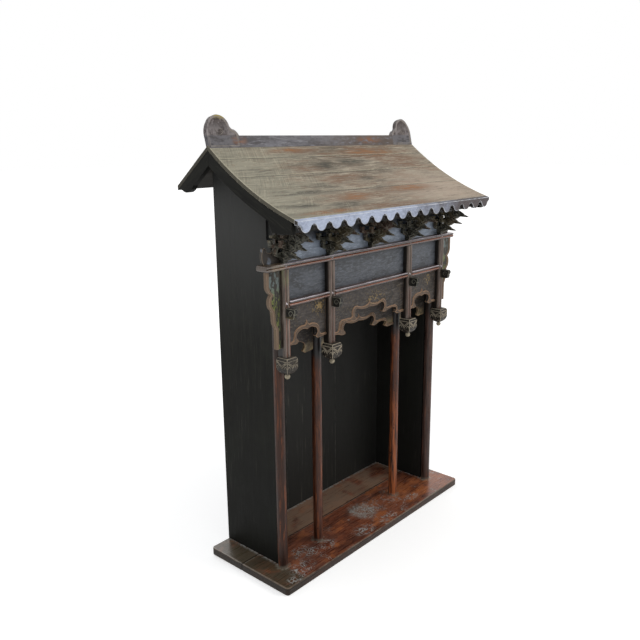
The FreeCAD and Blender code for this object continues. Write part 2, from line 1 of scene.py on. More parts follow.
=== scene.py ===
"""Looks of a household altar shrine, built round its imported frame.

The frame gives the boards, columns, rails, aprons and brackets at their true
size.  This script eases their edges, cuts wide slopes and walls into planks,
adds the carved work, and gives every piece a wood finish with grain, wear,
dust and remains of paint.  Lengths are in metres, with +Z up and the front
towards -Y.
"""
import json
import logging
import math
from collections.abc import Callable, Sequence
from dataclasses import dataclass, replace
from enum import Enum
from functools import partial, reduce
from typing import Any

import bpy
from mathutils import Matrix, Vector


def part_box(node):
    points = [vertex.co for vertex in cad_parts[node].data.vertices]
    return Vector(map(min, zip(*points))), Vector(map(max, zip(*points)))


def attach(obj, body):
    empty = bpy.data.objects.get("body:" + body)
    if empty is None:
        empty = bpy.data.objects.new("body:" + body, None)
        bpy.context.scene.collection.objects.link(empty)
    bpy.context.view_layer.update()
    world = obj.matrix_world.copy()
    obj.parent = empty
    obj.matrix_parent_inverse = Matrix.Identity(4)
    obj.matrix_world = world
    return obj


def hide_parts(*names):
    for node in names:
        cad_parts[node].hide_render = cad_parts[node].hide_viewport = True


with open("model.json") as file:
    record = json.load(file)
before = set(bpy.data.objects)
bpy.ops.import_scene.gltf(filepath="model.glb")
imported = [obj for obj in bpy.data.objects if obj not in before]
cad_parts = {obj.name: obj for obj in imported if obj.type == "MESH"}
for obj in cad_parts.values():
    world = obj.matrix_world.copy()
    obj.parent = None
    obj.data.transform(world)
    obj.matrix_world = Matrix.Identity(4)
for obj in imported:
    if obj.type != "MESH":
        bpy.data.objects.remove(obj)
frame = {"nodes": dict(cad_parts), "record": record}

log = logging.getLogger("shrine")

Shade = tuple[int, int, int]
Point = tuple[float, float, float]
Place = tuple[Point, Point]
Socket = bpy.types.NodeSocket
Piece = bpy.types.Object
Face = bpy.types.MeshPolygon
Material = bpy.types.Material

BODY = "root"
SAME_PLACE = 2e-5
EDGE_MARK = "worn_edge"
BOARD_MARK = "board_number"
RIM_MARK = "carved_rim"
BEAD_MARK = "upper_bead"
SIDES = ("left", "right")
POSTS = ("outer_left", "inner_left", "inner_right", "outer_right")
BASE_SEAM = 0.025
ROOF_JOINTS = (-0.104, -0.027, 0.0355)
GRAIN_DEPTH = 0.0006
COAT_ROUGHNESS = 0.22


def linear(value: int) -> float:
    """Undo the display curve for one channel of a colour.

    Args:
        value: The channel as a display shows it, from 0 to 255.

    Returns:
        The channel in linear light, from 0 to 1.
    """
    share = value / 255
    return share / 12.92 if share <= 0.04045 else ((share + 0.055) / 1.055) ** 2.4


class Grain(Enum):
    """Direction in which the grain of a piece runs."""

    ACROSS = "x"
    DEEP = "y"
    UPRIGHT = "z"


# ---------------------------------------------------------------- wiring


class Wiring:
    """Short ways of adding and joining the nodes of one node tree."""

    def __init__(self, tree: bpy.types.NodeTree) -> None:
        """Empty the tree and keep it."""
        tree.nodes.clear()
        self.tree = tree

    def feed(self, socket: Socket, value: Any) -> None:
        """Give an input its value.

        Args:
            socket: The input.
            value: An output to link, a colour as a display shows it, or a plain value.
        """
        if isinstance(value, Socket):
            self.tree.links.new(value, socket)
        elif socket.type == "RGBA" and len(value) == 3:
            socket.default_value = (*map(linear, value), 1.0)
        else:
            socket.default_value = value

    def add(self, kind: str, inputs: dict[Any, Any] | None = None, **settings: Any) -> bpy.types.Node:
        """Add a node.

        Args:
            kind: Type name of the node.
            inputs: Value or source for each input, by name or number.
            settings: Properties of the node.

        Returns:
            The new node.
        """
        node = self.tree.nodes.new(kind)
        for key, value in settings.items():
            setattr(node, key, value)
        for key, value in (inputs or {}).items():
            self.feed(node.inputs[key], value)
        return node

    def calc(self, operation: str, *values: Any) -> Socket:
        """Put numbers through one arithmetic step."""
        return self.add("ShaderNodeMath", dict(enumerate(values)), operation=operation).outputs[0]

    def plus(self, first: Any, second: Any) -> Socket:
        """Add two numbers."""
        return self.calc("ADD", first, second)

    def minus(self, first: Any, second: Any) -> Socket:
        """Take the second number from the first."""
        return self.calc("SUBTRACT", first, second)

    def times(self, first: Any, *others: Any) -> Any:
        """Multiply numbers."""
        return reduce(partial(self.calc, "MULTIPLY"), others, first)

    def most(self, first: Any, *others: Any) -> Any:
        """Find the largest of some numbers."""
        return reduce(partial(self.calc, "MAXIMUM"), others, first)

    def bulk(self, value: Any) -> Socket:
        """Drop the sign of a number."""
        return self.calc("ABSOLUTE", value)

    def vector(self, operation: str, *values: Any) -> Socket:
        """Put vectors through one arithmetic step."""
        return self.add("ShaderNodeVectorMath", dict(enumerate(values)), operation=operation).outputs[0]

    def length(self, vector: Socket) -> Socket:
        """Measure a vector."""
        return self.add("ShaderNodeVectorMath", {0: vector}, operation="LENGTH").outputs["Value"]

    def point(self, x: Any, y: Any, z: Any) -> Socket:
        """Make a vector of three numbers."""
        return self.add("ShaderNodeCombineXYZ", {0: x, 1: y, 2: z}).outputs[0]

    def split(self, vector: Socket) -> tuple[Socket, ...]:
        """Split a vector into X, Y and Z."""
        return tuple(self.add("ShaderNodeSeparateXYZ", {0: vector}).outputs)

    def mix(self, factor: Any, under: Any, over: Any) -> Socket:
        """Mix two colours."""
        return self.add("ShaderNodeMix", {0: factor, 6: under, 7: over}, data_type="RGBA").outputs[2]

    def between(self, value: Any, low: float, high: float, start: float = 0.0, end: float = 1.0) -> Socket:
        """Turn the range from low to high into a smooth rise from start to end."""
        inputs = {"Value": value, "From Min": low, "From Max": high, "To Min": start, "To Max": end}
        return self.add("ShaderNodeMapRange", inputs, interpolation_type="SMOOTHSTEP").outputs[0]

    def line(self, value: Any, centre: float, reach: float) -> Socket:
        """Mask that is 1 where a value meets the centre and fades out at the reach."""
        return self.between(self.bulk(self.minus(value, centre)), reach, reach * 0.3)

    def noise(
        self, vector: Socket, scale: Any, detail: float = 2.0, rough: float = 0.5, output: int = 0
    ) -> Socket:
        """Add a noise texture.

        Args:
            vector: Coordinates.
            scale: One scale, or one each for X, Y and Z.
            detail: How many finer noises are added.
            rough: How strong the finer noises are.
            output: 0 for one number, 1 for a colour.

        Returns:
            The noise.
        """
        if isinstance(scale, tuple):
            vector, scale = self.vector("MULTIPLY", vector, scale), 1.0
        inputs = {"Vector": vector, "Scale": scale, "Detail": detail, "Roughness": rough}
        return self.add("ShaderNodeTexNoise", inputs).outputs[output]

    def stored(self, name: str) -> Socket:
        """Read a number that the piece stores on its faces."""
        return self.add("ShaderNodeAttribute", attribute_name=name).outputs["Fac"]

    def facing(self) -> tuple[Socket, ...]:
        """Return the X, Y and Z of the direction that the surface faces."""
        return self.split(self.add("ShaderNodeNewGeometry").outputs["Normal"])


class Effect:
    """A shader node group shared by several finishes."""

    def __init__(self, name: str, inputs: str, outputs: str = "Mask") -> None:
        """Make an empty group.

        Args:
            name: Name of the group.
            inputs: Names of its inputs.  Vector is a vector and the others are numbers.
            outputs: Names of its outputs, which are numbers.
        """
        self.tree = bpy.data.node_groups.new(name, "ShaderNodeTree")
        for side, labels in (("INPUT", inputs), ("OUTPUT", outputs)):
            for label in labels.split():
                kind = "NodeSocketVector" if label == "Vector" else "NodeSocketFloat"
                self.tree.interface.new_socket(label, in_out=side, socket_type=kind)
        self.wire = Wiring(self.tree)
        self.given = self.wire.add("NodeGroupInput").outputs
        self.result = self.wire.add("NodeGroupOutput").inputs

    def put(self, label: str, value: Socket) -> None:
        """Send a value out of the group."""
        self.wire.feed(self.result[label], value)

    def use(self, wire: Wiring, **inputs: Any) -> bpy.types.NodeOutputs:
        """Place the group in a material.

        Args:
            wire: Wiring of the material.
            inputs: Value or source for each input of the group.

        Returns:
            The outputs of the group.
        """
        node = wire.add("ShaderNodeGroup", node_tree=self.tree)
        for label, value in inputs.items():
            wire.feed(node.inputs[label], value)
        return node.outputs


class Effects:
    """Builds the shared effects once."""

    def __init__(self) -> None:
        """Build every group."""
        self.swirls = self._swirls()
        self.timber = self._timber()
        self.wear = self._wear()
        self.dust = self._dust()
        self.remains = self._remains()

    @staticmethod
    def _swirls() -> Effect:
        """Thin curling lines, such as old wax leaves behind.

        Returns:
            The group.
        """
        effect = Effect("wax_swirls", "Vector Size")
        w, place = effect.wire, effect.given["Vector"]
        wander = w.vector("SUBTRACT", w.noise(place, 26.0, 3.0, output=1), (0.5, 0.5, 0.5))
        bent = w.vector("ADD", place, w.vector("MULTIPLY", wander, (0.05, 0.05, 0.0)))
        inputs = {"Vector": bent, "Scale": effect.given["Size"]}
        cells = w.add("ShaderNodeTexVoronoi", inputs, feature="DISTANCE_TO_EDGE").outputs["Distance"]
        broken = w.between(w.noise(place, 60.0, 3.0, 0.6), 0.38, 0.58)
        effect.put("Mask", w.times(w.between(cells, 0.13, 0.03), broken))
        return effect

    @staticmethod
    def _timber() -> Effect:
        """Grain of sawn wood, for coordinates whose X runs along the board.

        Returns:
            The group.
        """
        effect = Effect("timber_grain", "Vector Board", "Figure Streaks Pores Height")
        w, board = effect.wire, effect.given["Board"]
        shift = w.vector("MULTIPLY", w.point(board, board, board), (3.17, 1.93, 5.71))
        place = w.vector("ADD", effect.given["Vector"], shift)
        wander = w.times(w.noise(place, (2.0, 6.0, 6.0), 1.0), 0.02)
        bent = w.vector("ADD", place, w.point(0.0, wander, wander))
        streaks = w.noise(bent, (15.0, 210.0, 210.0), 4.0, 0.68)
        fine = w.noise(bent, (40.0, 820.0, 820.0), 2.0, 0.5)
        pores = w.between(fine, 0.58, 0.70)
        effect.put("Figure", w.noise(bent, (3.0, 34.0, 34.0), 5.0, 0.68))
        effect.put("Streaks", streaks)
        effect.put("Pores", pores)
        effect.put(
            "Height", w.minus(w.plus(w.times(streaks, 0.7), w.times(fine, 0.3)), w.times(pores, 0.35))
        )
        return effect

    @staticmethod
    def _wear() -> Effect:
        """Rubbed edges: the eased edges of a board, broken up by chance.

        Returns:
            The group.
        """
        effect = Effect("rubbed_edges", "Vector Edge Amount")
        w, given = effect.wire, effect.given
        rough = w.noise(given["Vector"], 55.0, 4.0, 0.65)
        broad = w.noise(given["Vector"], 9.0, 2.0)
        chance = w.plus(w.times(rough, 0.6), w.times(broad, 0.55))
        lift = w.plus(chance, w.minus(given["Amount"], 0.5))
        effect.put("Mask", w.times(w.between(lift, 0.45, 0.75), given["Edge"]))
        return effect

    @staticmethod
    def _dust() -> Effect:
        """Dust that settles on faces that look up.

        Returns:
            The group.
        """
        effect = Effect("settled_dust", "Vector Amount")
        w, given = effect.wire, effect.given
        cloud = w.noise(given["Vector"], 14.0, 4.0, 0.6)
        up = w.between(w.facing()[2], 0.35, 0.95)
        effect.put("Mask", w.times(up, w.between(cloud, 0.3, 0.75), given["Amount"]))
        return effect

    @staticmethod
    def _remains() -> Effect:
        """Flaked remains of an old coat, which cover a given share of the wood.

        Returns:
            The group.
        """
        effect = Effect("flaked_remains", "Vector Size Cover")
        w, given = effect.wire, effect.given
        flakes = w.noise(given["Vector"], given["Size"], 6.0, 0.62)
        edge = w.minus(flakes, w.minus(0.72, w.times(given["Cover"], 0.44)))
        effect.put("Mask", w.between(edge, 0.0, 0.05))
        return effect


class Painter(Wiring):
    """Wiring of one material, whose colour is laid on in coats."""

    def __init__(self, tree: bpy.types.NodeTree, effects: Effects) -> None:
        """Start with the piece's own coordinates.

        Args:
            tree: Node tree of the material.
            effects: The shared node groups.
        """
        super().__init__(tree)
        self.effects = effects
        self.plain = self.add("ShaderNodeTexCoord").outputs["Object"]
        self.place = self.split(self.plain)
        self.colour: Any = None

    def lay(self, over: Any, *shares: Any) -> None:
        """Lay a colour over what is there, as thickly as all the shares multiplied."""
        self.colour = self.mix(self.times(*shares), self.colour, over)

    def cloud(self, scale: Any, detail: float = 2.0, rough: float = 0.5) -> Socket:
        """Noise over the piece."""
        return self.noise(self.plain, scale, detail, rough)

    def ragged(self, value: Socket, reach: float, *cloud: float) -> Socket:
        """Shift a value up and down by chance, over the given reach."""
        return self.plus(value, self.times(self.minus(self.cloud(*cloud), 0.5), reach))

    def remains(self, size: float, cover: float, vector: Socket | None = None) -> Socket:
        """Mask of the flaked remains of a coat."""
        inputs = {"Vector": vector or self.plain, "Size": size, "Cover": cover}
        return self.effects.remains.use(self, **inputs)["Mask"]

    def swirls(self, size: float, vector: Socket | None = None) -> Socket:
        """Mask of the curling lines that old wax leaves."""
        return self.effects.swirls.use(self, Vector=vector or self.plain, Size=size)["Mask"]

    def spot(self, centre: Point, reach: Point, soft: float = 0.6) -> Socket:
        """Mask that is 1 round a place and fades out at its reach.

        Args:
            centre: Middle of the place.
            reach: Half widths of the place along X, Y and Z.
            soft: Share of the reach over which it fades.

        Returns:
            The mask.
        """
        away = self.vector("SUBTRACT", self.plain, centre)
        return self.between(self.length(self.vector("DIVIDE", away, reach)), 1.0, 1.0 - soft)

    def spots(self, places: Sequence[Place], soft: float = 0.6) -> Socket:
        """Mask of several places at once."""
        return self.most(*(self.spot(centre, reach, soft) for centre, reach in places))


# -------------------------------------------------------------- finishes


@dataclass(frozen=True)
class WoodFinish:
    """One wood finish.

    Colours are written as a display shows them, from 0 to 255, except the
    dust, which is in linear light.  Shares run from 0 to 1.  A run above 1
    makes the streaks of the grain shorter.
    """

    name: str
    deep: Shade
    base: Shade
    light: Shade
    rubbed: Shade
    grain: Grain = Grain.ACROSS
    run: float = 1.0
    tilt: float = 0.0
    wear: float = 0.5
    rough: tuple[float, float] = (0.45, 0.65)
    relief: float = 0.35
    specular: float = 0.25
    coat: float = 0.0
    dust: tuple[float, float, float, float] = (0.16, 0.15, 0.13, 1.0)
    dust_amount: float = 0.3

    def along(self, p: Painter) -> Socket:
        """Turn the piece's coordinates so that X runs along the grain.

        Args:
            p: Painter of the material.

        Returns:
            The turned coordinates.
        """
        inputs = {"Vector": p.plain, "Rotation": (math.radians(self.tilt), 0.0, 0.0)}
        x, y, z = p.split(p.add("ShaderNodeMapping", inputs).outputs[0])
        orders = {Grain.ACROSS: (x, y, z), Grain.DEEP: (y, x, z), Grain.UPRIGHT: (z, x, y)}
        first, *others = orders[self.grain]
        return p.point(p.times(first, self.run), *others)

    def tint(self, p: Painter) -> None:
        """Lay on what only this finish has.  The simplest finish adds nothing."""

    def coating(self, p: Painter) -> Any:
        """Thickness of the clear coat, the same all over unless a finish says where."""
        return self.coat

    def material(self, effects: Effects) -> Material:
        """Build the material.

        Args:
            effects: The shared node groups.

        Returns:
            The finished material.
        """
        material = bpy.data.materials.new(self.name)
        material.use_nodes = True
        p = Painter(material.node_tree, effects)
        grain = effects.timber.use(p, Vector=self.along(p), Board=p.stored(BOARD_MARK))
        streaks = grain["Streaks"]
        p.colour = p.mix(p.between(grain["Figure"], 0.34, 0.60), self.deep, self.base)
        p.lay(self.light, p.between(streaks, 0.48, 0.70))
        p.lay(self.deep, p.between(streaks, 0.46, 0.32), 0.6)
        p.lay(self.deep, grain["Pores"], 0.35)
        self.tint(p)
        dust = effects.dust.use(p, Vector=p.plain, Amount=self.dust_amount)["Mask"]
        p.lay(self.dust, dust)
        wear = effects.wear.use(p, Vector=p.plain, Edge=p.stored(EDGE_MARK), Amount=self.wear)
        p.lay(self.rubbed, wear["Mask"])
        rough = p.plus(p.between(streaks, 0.3, 0.7, *self.rough), p.times(dust, 0.25))
        relief = {"Strength": self.relief, "Distance": GRAIN_DEPTH, "Height": grain["Height"]}
        inputs = {
            "Base Color": p.colour,
            "Roughness": rough,
            "Normal": p.add("ShaderNodeBump", relief).outputs[0],
            "Specular IOR Level": self.specular,
            "Coat Weight": self.coating(p),
            "Coat Roughness": COAT_ROUGHNESS,
        }
        p.add("ShaderNodeOutputMaterial", {"Surface": p.add("ShaderNodeBsdfPrincipled", inputs).outputs[0]})
        return material


@dataclass(frozen=True)
class PlinthFinish(WoodFinish):
    """Worn lacquer of the base, with dust, wax and grey edges."""

    # Colour of the thick lacquer, and also of the painted highlight.
    glow: Shade = (172, 102, 58)
    yellow: Shade = (138, 115, 96)
    grime: Shade = (58, 55, 41)
    wax: Shade = (160, 160, 156)
    powder: Shade = (126, 120, 108)
    side: Shade = (38, 32, 27)
    gap: Shade = (22, 16, 13)
    seam: float = BASE_SEAM
    feet: tuple[Point, ...] = ()
    drips: tuple[Place, ...] = ()

    def tint(self, p: Painter) -> None:
        """Add thin and thick lacquer, a painted highlight near the right end, the dusty left end, wax, and
        dust at the feet.

        Args:
            p: Painter of the material.
        """
        x, y, _ = p.place
        clouds = p.cloud((13.0, 26.0, 26.0), 5.0, 0.66)
        p.lay(self.glow, p.between(clouds, 0.50, 0.68), 0.65)
        p.lay(self.deep, p.between(clouds, 0.46, 0.34), 0.75)
        p.lay(self.deep, p.between(p.cloud(60.0, 4.0, 0.6), 0.54, 0.66), 0.65)
        yellow = p.between(y, self.seam - 0.005, self.seam + 0.005)
        p.lay(self.yellow, yellow, p.between(p.cloud(16.0, 3.0), 0.28, 0.52), 0.8)
        # Painted highlight: a warm glossy reflection on the top, near the right end.
        painted_highlight = p.spot((0.30, -0.090, 0.023), (0.22, 0.12, 0.05), 0.9)
        p.lay(self.glow, painted_highlight, p.between(clouds, 0.36, 0.60), 0.7)
        far = p.between(x, -0.345, -0.365)
        p.lay(self.grime, far, p.between(p.cloud(18.0, 4.0, 0.65), 0.22, 0.5), 0.85)
        patches = p.spots(self.drips, 0.5)
        swirl = p.swirls(105.0)
        main = p.spot(*self.drips[0], 0.5)
        p.lay(self.powder, main, 0.30)
        other_swirl = p.swirls(125.0, p.vector("ADD", p.plain, (0.3, 0.2, 0.0)))
        p.lay(self.wax, main, other_swirl)
        p.lay(self.wax, patches, swirl)
        strays = p.between(p.cloud(17.0, 2.0), 0.55, 0.62)
        p.lay(self.wax, swirl, strays, p.between(y, self.seam, -0.06), p.between(x, -0.35, -0.30), 0.7)
        rings = p.spots([(foot, (0.026, 0.026, 0.012)) for foot in self.feet], 0.3)
        broken = p.between(p.cloud(120.0, 2.0), 0.35, 0.6)
        p.lay(self.powder, rings, broken, 0.75)
        wide = p.bulk(x)
        back_foot = p.times(p.line(y, 0.1365, 0.008), p.between(wide, 0.347, 0.343))
        side_foot = p.times(p.line(wide, 0.352, 0.017), p.between(y, -0.066, -0.056))
        p.lay(self.wax, p.most(back_foot, side_foot), broken, 0.8)
        p.lay(self.powder, p.line(y, self.seam - 0.0042, 0.0026), broken, 0.6)
        p.lay(self.gap, p.line(y, self.seam, 0.0026), 0.9)
        p.lay(self.side, p.between(p.facing()[2], 0.75, 0.35), 0.9)

    def coating(self, p: Painter) -> Any:
        """Keep the clear coat on the upper side."""
        return p.between(p.facing()[2], 0.3, 0.9, 0.0, self.coat)


@dataclass(frozen=True)
class RoofFinish(WoodFinish):
    """Bare roof boards, greenish at the left and stained brown and orange in places."""

    moss: Shade = (145, 144, 128)
    umber: Shade = (118, 92, 74)
    rust: Shade = (146, 102, 66)
    smoke: Shade = (72, 70, 63)
    cream: Shade = (192, 186, 162)
    highlight_tint: Shade = (176, 160, 144)
    end: Shade = (66, 63, 54)
    # Colour of the painted shade on the underside.
    under: Shade = (62, 56, 49)
    half_width: float = 0.4356
    brown_places: tuple[Place, ...] = ()
    rust_places: tuple[Place, ...] = ()
    smoke_places: tuple[Place, ...] = ()
    saw_centre: Point = (-0.95, 0.42, 1.1)
    joints: tuple[float, ...] = ROOF_JOINTS

    def tint(self, p: Painter) -> None:
        """Add the stains where they lie on the slope, the marks of the saw, a painted highlight on the
        right of the front slope, and painted shade on the faces that look down.

        Args:
            p: Painter of the material.
        """
        x, y, _ = p.place
        cloud = p.times(p.cloud(12.0, 4.0, 0.6), 0.4)
        fine = p.cloud((22.0, 190.0, 190.0), 5.0, 0.7)
        broad = p.cloud((7.0, 42.0, 42.0), 5.0, 0.65)
        p.lay(self.moss, p.between(p.plus(x, cloud), 0.10, -0.14), 0.55)
        inward = p.between(x, -0.40, -0.16)
        p.lay(self.umber, p.between(broad, 0.48, 0.60), p.between(fine, 0.38, 0.58), inward, 0.75)
        p.lay(self.smoke, p.between(broad, 0.47, 0.36), p.between(fine, 0.38, 0.58), 0.5)
        specks = p.cloud((90.0, 260.0, 260.0), 3.0, 0.6)
        p.lay(self.umber, p.between(specks, 0.60, 0.68), 0.55)
        p.lay(self.cream, p.between(specks, 0.38, 0.30), 0.45)
        # Painted highlight: a pale pool of light on the right of the front slope.
        roof_highlight = p.spot((0.30, -0.15, 1.04), (0.34, 0.17, 0.3), 0.9)
        p.lay(self.highlight_tint, roof_highlight, p.between(fine, 0.30, 0.54), 0.8)
        p.lay(self.umber, p.spots(self.brown_places, 0.95), p.between(fine, 0.30, 0.60), 0.9)
        p.lay(self.rust, p.spots(self.rust_places, 0.95), p.between(fine, 0.34, 0.64), 0.85)
        p.lay(self.smoke, p.spots(self.smoke_places, 0.95), p.between(fine, 0.26, 0.60))
        reach = p.length(p.vector("SUBTRACT", p.plain, self.saw_centre))
        rings = p.point(p.times(reach, 330.0), p.times(x, 14.0), p.times(y, 14.0))
        stroke = p.noise(rings, 1.0, 2.0, 0.6)
        sawn = p.times(p.between(x, -0.10, -0.24), p.between(p.cloud(14.0, 2.0), 0.42, 0.60))
        p.lay(self.cream, p.between(stroke, 0.50, 0.66), sawn, 0.20)
        p.lay(self.smoke, p.between(stroke, 0.50, 0.34), sawn, 0.24)
        for joint in self.joints:
            p.lay(self.cream, p.line(y, joint + 0.0020, 0.0022), p.between(broad, 0.40, 0.56), 0.34)
            p.lay(self.smoke, p.line(y, joint - 0.0004, 0.0020), p.between(fine, 0.34, 0.50), 0.9)
        rake = p.between(p.bulk(x), self.half_width - 0.006, self.half_width - 0.001)
        p.lay(self.cream, rake, p.between(fine, 0.30, 0.5), 0.4)
        sideways, _, up = p.facing()
        p.lay(self.end, p.between(p.bulk(sideways), 0.75, 0.95), 0.9)
        # Painted shade on the faces that look down, under the slope.
        p.lay(self.under, p.between(up, 0.1, -0.3), 0.95)


@dataclass(frozen=True)
class EaveFinish(WoodFinish):
    """Old pale blue paint on the face of the eave board, with a painted reflection that is brightest at the
    left and fades towards the right.
    """

    chalk: Shade = (178, 188, 206)
    # Darker tone into which the painted reflection fades.
    far: Shade = (72, 65, 66)
    bare: Shade = (40, 34, 30)

    def tint(self, p: Painter) -> None:
        """Fade the painted reflection along the board towards the right, and leave its thickness bare.

        Args:
            p: Painter of the material.
        """
        x = p.place[0]
        p.lay(self.chalk, p.between(p.cloud(75.0, 4.0, 0.65), 0.44, 0.66), 0.7)
        # Painted reflection: the bright blue-white at the left gives way to this darker tone towards the
        # right.
        p.lay(self.far, p.between(p.ragged(x, 0.5, 16.0, 4.0, 0.6), -0.12, 0.32))
        p.lay(self.bare, p.spot((-0.4356, -0.226, 0.985), (0.020, 0.03, 0.016)), 0.9)
        _, y, z = p.facing()
        painted = p.most(p.between(p.times(y, -1.0), 0.35, 0.75), p.between(z, 0.55, 0.8))
        p.colour = p.mix(painted, self.bare, p.colour)


@dataclass(frozen=True)
class RidgeFinish(WoodFinish):
    """Painted ridge board with rubbed orange patches."""

    brown: Shade = (80, 67, 58)
    rust: Shade = (128, 86, 60)
    places: tuple[Place, ...] = (
        ((-0.330, 0.08, 1.183), (0.034, 0.05, 0.016)), ((0.205, 0.08, 1.182), (0.085, 0.05, 0.016))
    )

    def tint(self, p: Painter) -> None:
        """Add the patches and the browner right end.

        Args:
            p: Painter of the material.
        """
        x = p.place[0]
        mottle = p.cloud((40.0, 110.0, 110.0), 5.0, 0.65)
        p.lay(self.deep, p.between(mottle, 0.52, 0.64), 0.4)
        p.lay(self.brown, p.between(x, -0.14, 0.20), p.between(mottle, 0.30, 0.52), 0.85)
        p.lay(self.rust, p.spots(self.places, 0.95), p.between(mottle, 0.36, 0.56), 0.85)


@dataclass(frozen=True)
class CrestFinish(WoodFinish):
    """Carved crests with grey paint left on the rim and yellow on the left one."""

    paint: Shade = (134, 127, 127)
    yellow: Shade = (150, 134, 62)
    slate: Shade = (97, 95, 99)
    rust: Shade = (128, 86, 60)
    place: Point = (-0.336, 0.080, 1.183)
    shoulder: float = 1.196

    def tint(self, p: Painter) -> None:
        """Lay paint on the rim and in flakes on the field.

        Args:
            p: Painter of the material.
        """
        flakes = p.remains(90.0, 0.34)
        p.lay(self.paint, flakes, 0.45)
        z = p.place[2]
        mottle = p.cloud((40.0, 110.0, 110.0), 5.0, 0.65)
        slate = p.mix(p.between(mottle, 0.44, 0.60, 0.0, 0.65), self.slate, self.deep)
        p.lay(slate, p.between(z, self.shoulder + 0.002, self.shoulder - 0.002), 0.9)
        above = p.between(z, self.shoulder - 0.002, self.shoulder + 0.002)
        chalky = p.between(p.cloud(46.0, 4.0, 0.6), 0.36, 0.58)
        p.lay(self.paint, above, p.between(z, 1.236, 1.204), chalky, 0.7)
        p.lay(self.paint, p.stored(RIM_MARK), p.between(p.cloud(40.0, 4.0), 0.30, 0.52), above, 0.85)
        lost = p.between(p.cloud(60.0, 3.0), 0.38, 0.54)
        p.lay(self.rust, p.spot(self.place, (0.034, 0.05, 0.016), 0.95), p.between(mottle, 0.36, 0.56), 0.8)
        p.lay(self.yellow, p.spot((-0.383, 0.088, 1.246), (0.034, 0.05, 0.012), 0.5), lost, 0.85)


@dataclass(frozen=True)
class PostFinish(WoodFinish):
    """Posts with grey beads, painted orange light on the bead faces that look right, and painted shade on
    the nearly black sides.
    """

    light_from_right: Shade = (146, 82, 56)
    worn: Shade = (74, 57, 47)
    # Colour of the painted shade on the flat sides.
    side: Shade = (22, 19, 16)
    green: Shade = (118, 120, 84)

    def tint(self, p: Painter) -> None:
        """Paint orange light on the bead faces that look right, and shade on the flat sides.

        Args:
            p: Painter of the material.
        """
        x = p.facing()[0]
        across, y, z = p.place
        patchy = p.between(p.cloud((60.0, 60.0, 16.0), 4.0, 0.6), 0.38, 0.60)
        p.lay(self.green, p.spot((-0.357, -0.11, 0.868), (0.03, 0.05, 0.05), 0.7), patchy, 0.7)
        low = p.between(z, 0.80, 0.74, 0.55, 1.0)
        worn = p.times(p.between(z, 0.79, 0.70), p.between(across, -0.34, -0.25))
        p.lay(self.worn, worn, p.between(patchy, 0.0, 1.0, 0.4, 1.0), 0.8)
        # Painted light: the bead faces that look right are lit orange, more strongly low down.
        p.lay(self.light_from_right, p.between(x, 0.0, 0.50), p.plus(p.times(patchy, 0.45), 0.5), low)
        # Painted shade on the flat sides, kept off the strip next to the front.
        p.lay(self.side, p.between(p.bulk(x), 0.93, 0.985), p.between(y, -0.106, -0.099))


@dataclass(frozen=True)
class RailFinish(WoodFinish):
    """Rails with a painted highlight along the upper bead, painted shade below it and underneath, and a
    redder lower bead.
    """

    # Colour of the painted highlight on the upper bead.
    pale: Shade = (206, 199, 208)
    red: Shade = (142, 82, 54)
    bare: Shade = (112, 97, 76)
    tip: Shade = (58, 44, 35)

    def tint(self, p: Painter) -> None:
        """Tell the beads apart by their height in the rail, and by the way they face.

        Args:
            p: Painter of the material.
        """
        z = p.facing()[2]
        patchy = p.between(p.cloud((18.0, 60.0, 60.0), 4.0, 0.6), 0.34, 0.58)
        place = p.stored(BEAD_MARK)
        p.lay(self.red, p.minus(1.0, place), p.between(z, -0.1, 0.6), p.plus(p.times(patchy, 0.4), 0.5))
        # Painted highlight along the top of the upper bead.
        bead_highlight = p.times(p.between(z, 0.40, 0.62), p.between(z, 0.99, 0.93))
        p.lay(self.pale, place, bead_highlight, p.plus(p.times(patchy, 0.5), 0.45))
        # Painted shade on the lower side of the upper bead, towards the groove, and on the faces that look
        # down.
        p.lay(self.deep, place, p.between(z, 0.40, 0.10), 0.85)
        p.lay(self.deep, p.between(z, -0.30, -0.7), 0.85)
        x = p.place[0]
        p.lay(self.bare, p.between(x, -0.356, -0.372), p.between(patchy, 0.0, 1.0, 0.5, 1.0), 0.8)
        p.lay(self.tip, p.between(x, -0.398, -0.412), 0.85)


@dataclass(frozen=True)
class PanelFinish(WoodFinish):
    """Blue-grey panels, with painted shade along the top, under the upper rail."""

    chalk: Shade = (118, 120, 124)

    def tint(self, p: Painter) -> None:
        """Add short pale rubs and the painted shade at the top.

        Args:
            p: Painter of the material.
        """
        z = p.place[2]
        rubs = p.cloud((70.0, 240.0, 240.0), 5.0, 0.7)
        p.lay(self.chalk, p.between(rubs, 0.52, 0.68), 0.4)
        p.lay(self.deep, p.between(rubs, 0.47, 0.36), 0.5)
        # Painted shade along the top of the panel, under the upper rail.
        p.lay(self.deep, p.between(z, 0.842, 0.872), 0.5)


@dataclass(frozen=True)
class CoveFinish(WoodFinish):
    """Grey-blue paint behind the brackets, with painted shade that darkens it towards the roof."""

    # Colour of the painted shade towards the roof.
    smoke: Shade = (24, 22, 20)
    ear: Shade = (44, 38, 33)

    def tint(self, p: Painter) -> None:
        """Paint shade on the upper part and leave the ears brown.

        Args:
            p: Painter of the material.
        """
        x, _, z = p.place
        ragged = p.ragged(z, 0.05, 22.0, 4.0, 0.6)
        p.lay(self.ear, p.between(p.bulk(x), 0.352, 0.362), p.between(p.cloud(40.0, 4.0), 0.2, 0.4))
        # Painted shade: the upper part, behind the brackets and under the roof, goes nearly black.
        p.lay(self.smoke, p.between(ragged, 0.918, 0.955), 0.92)


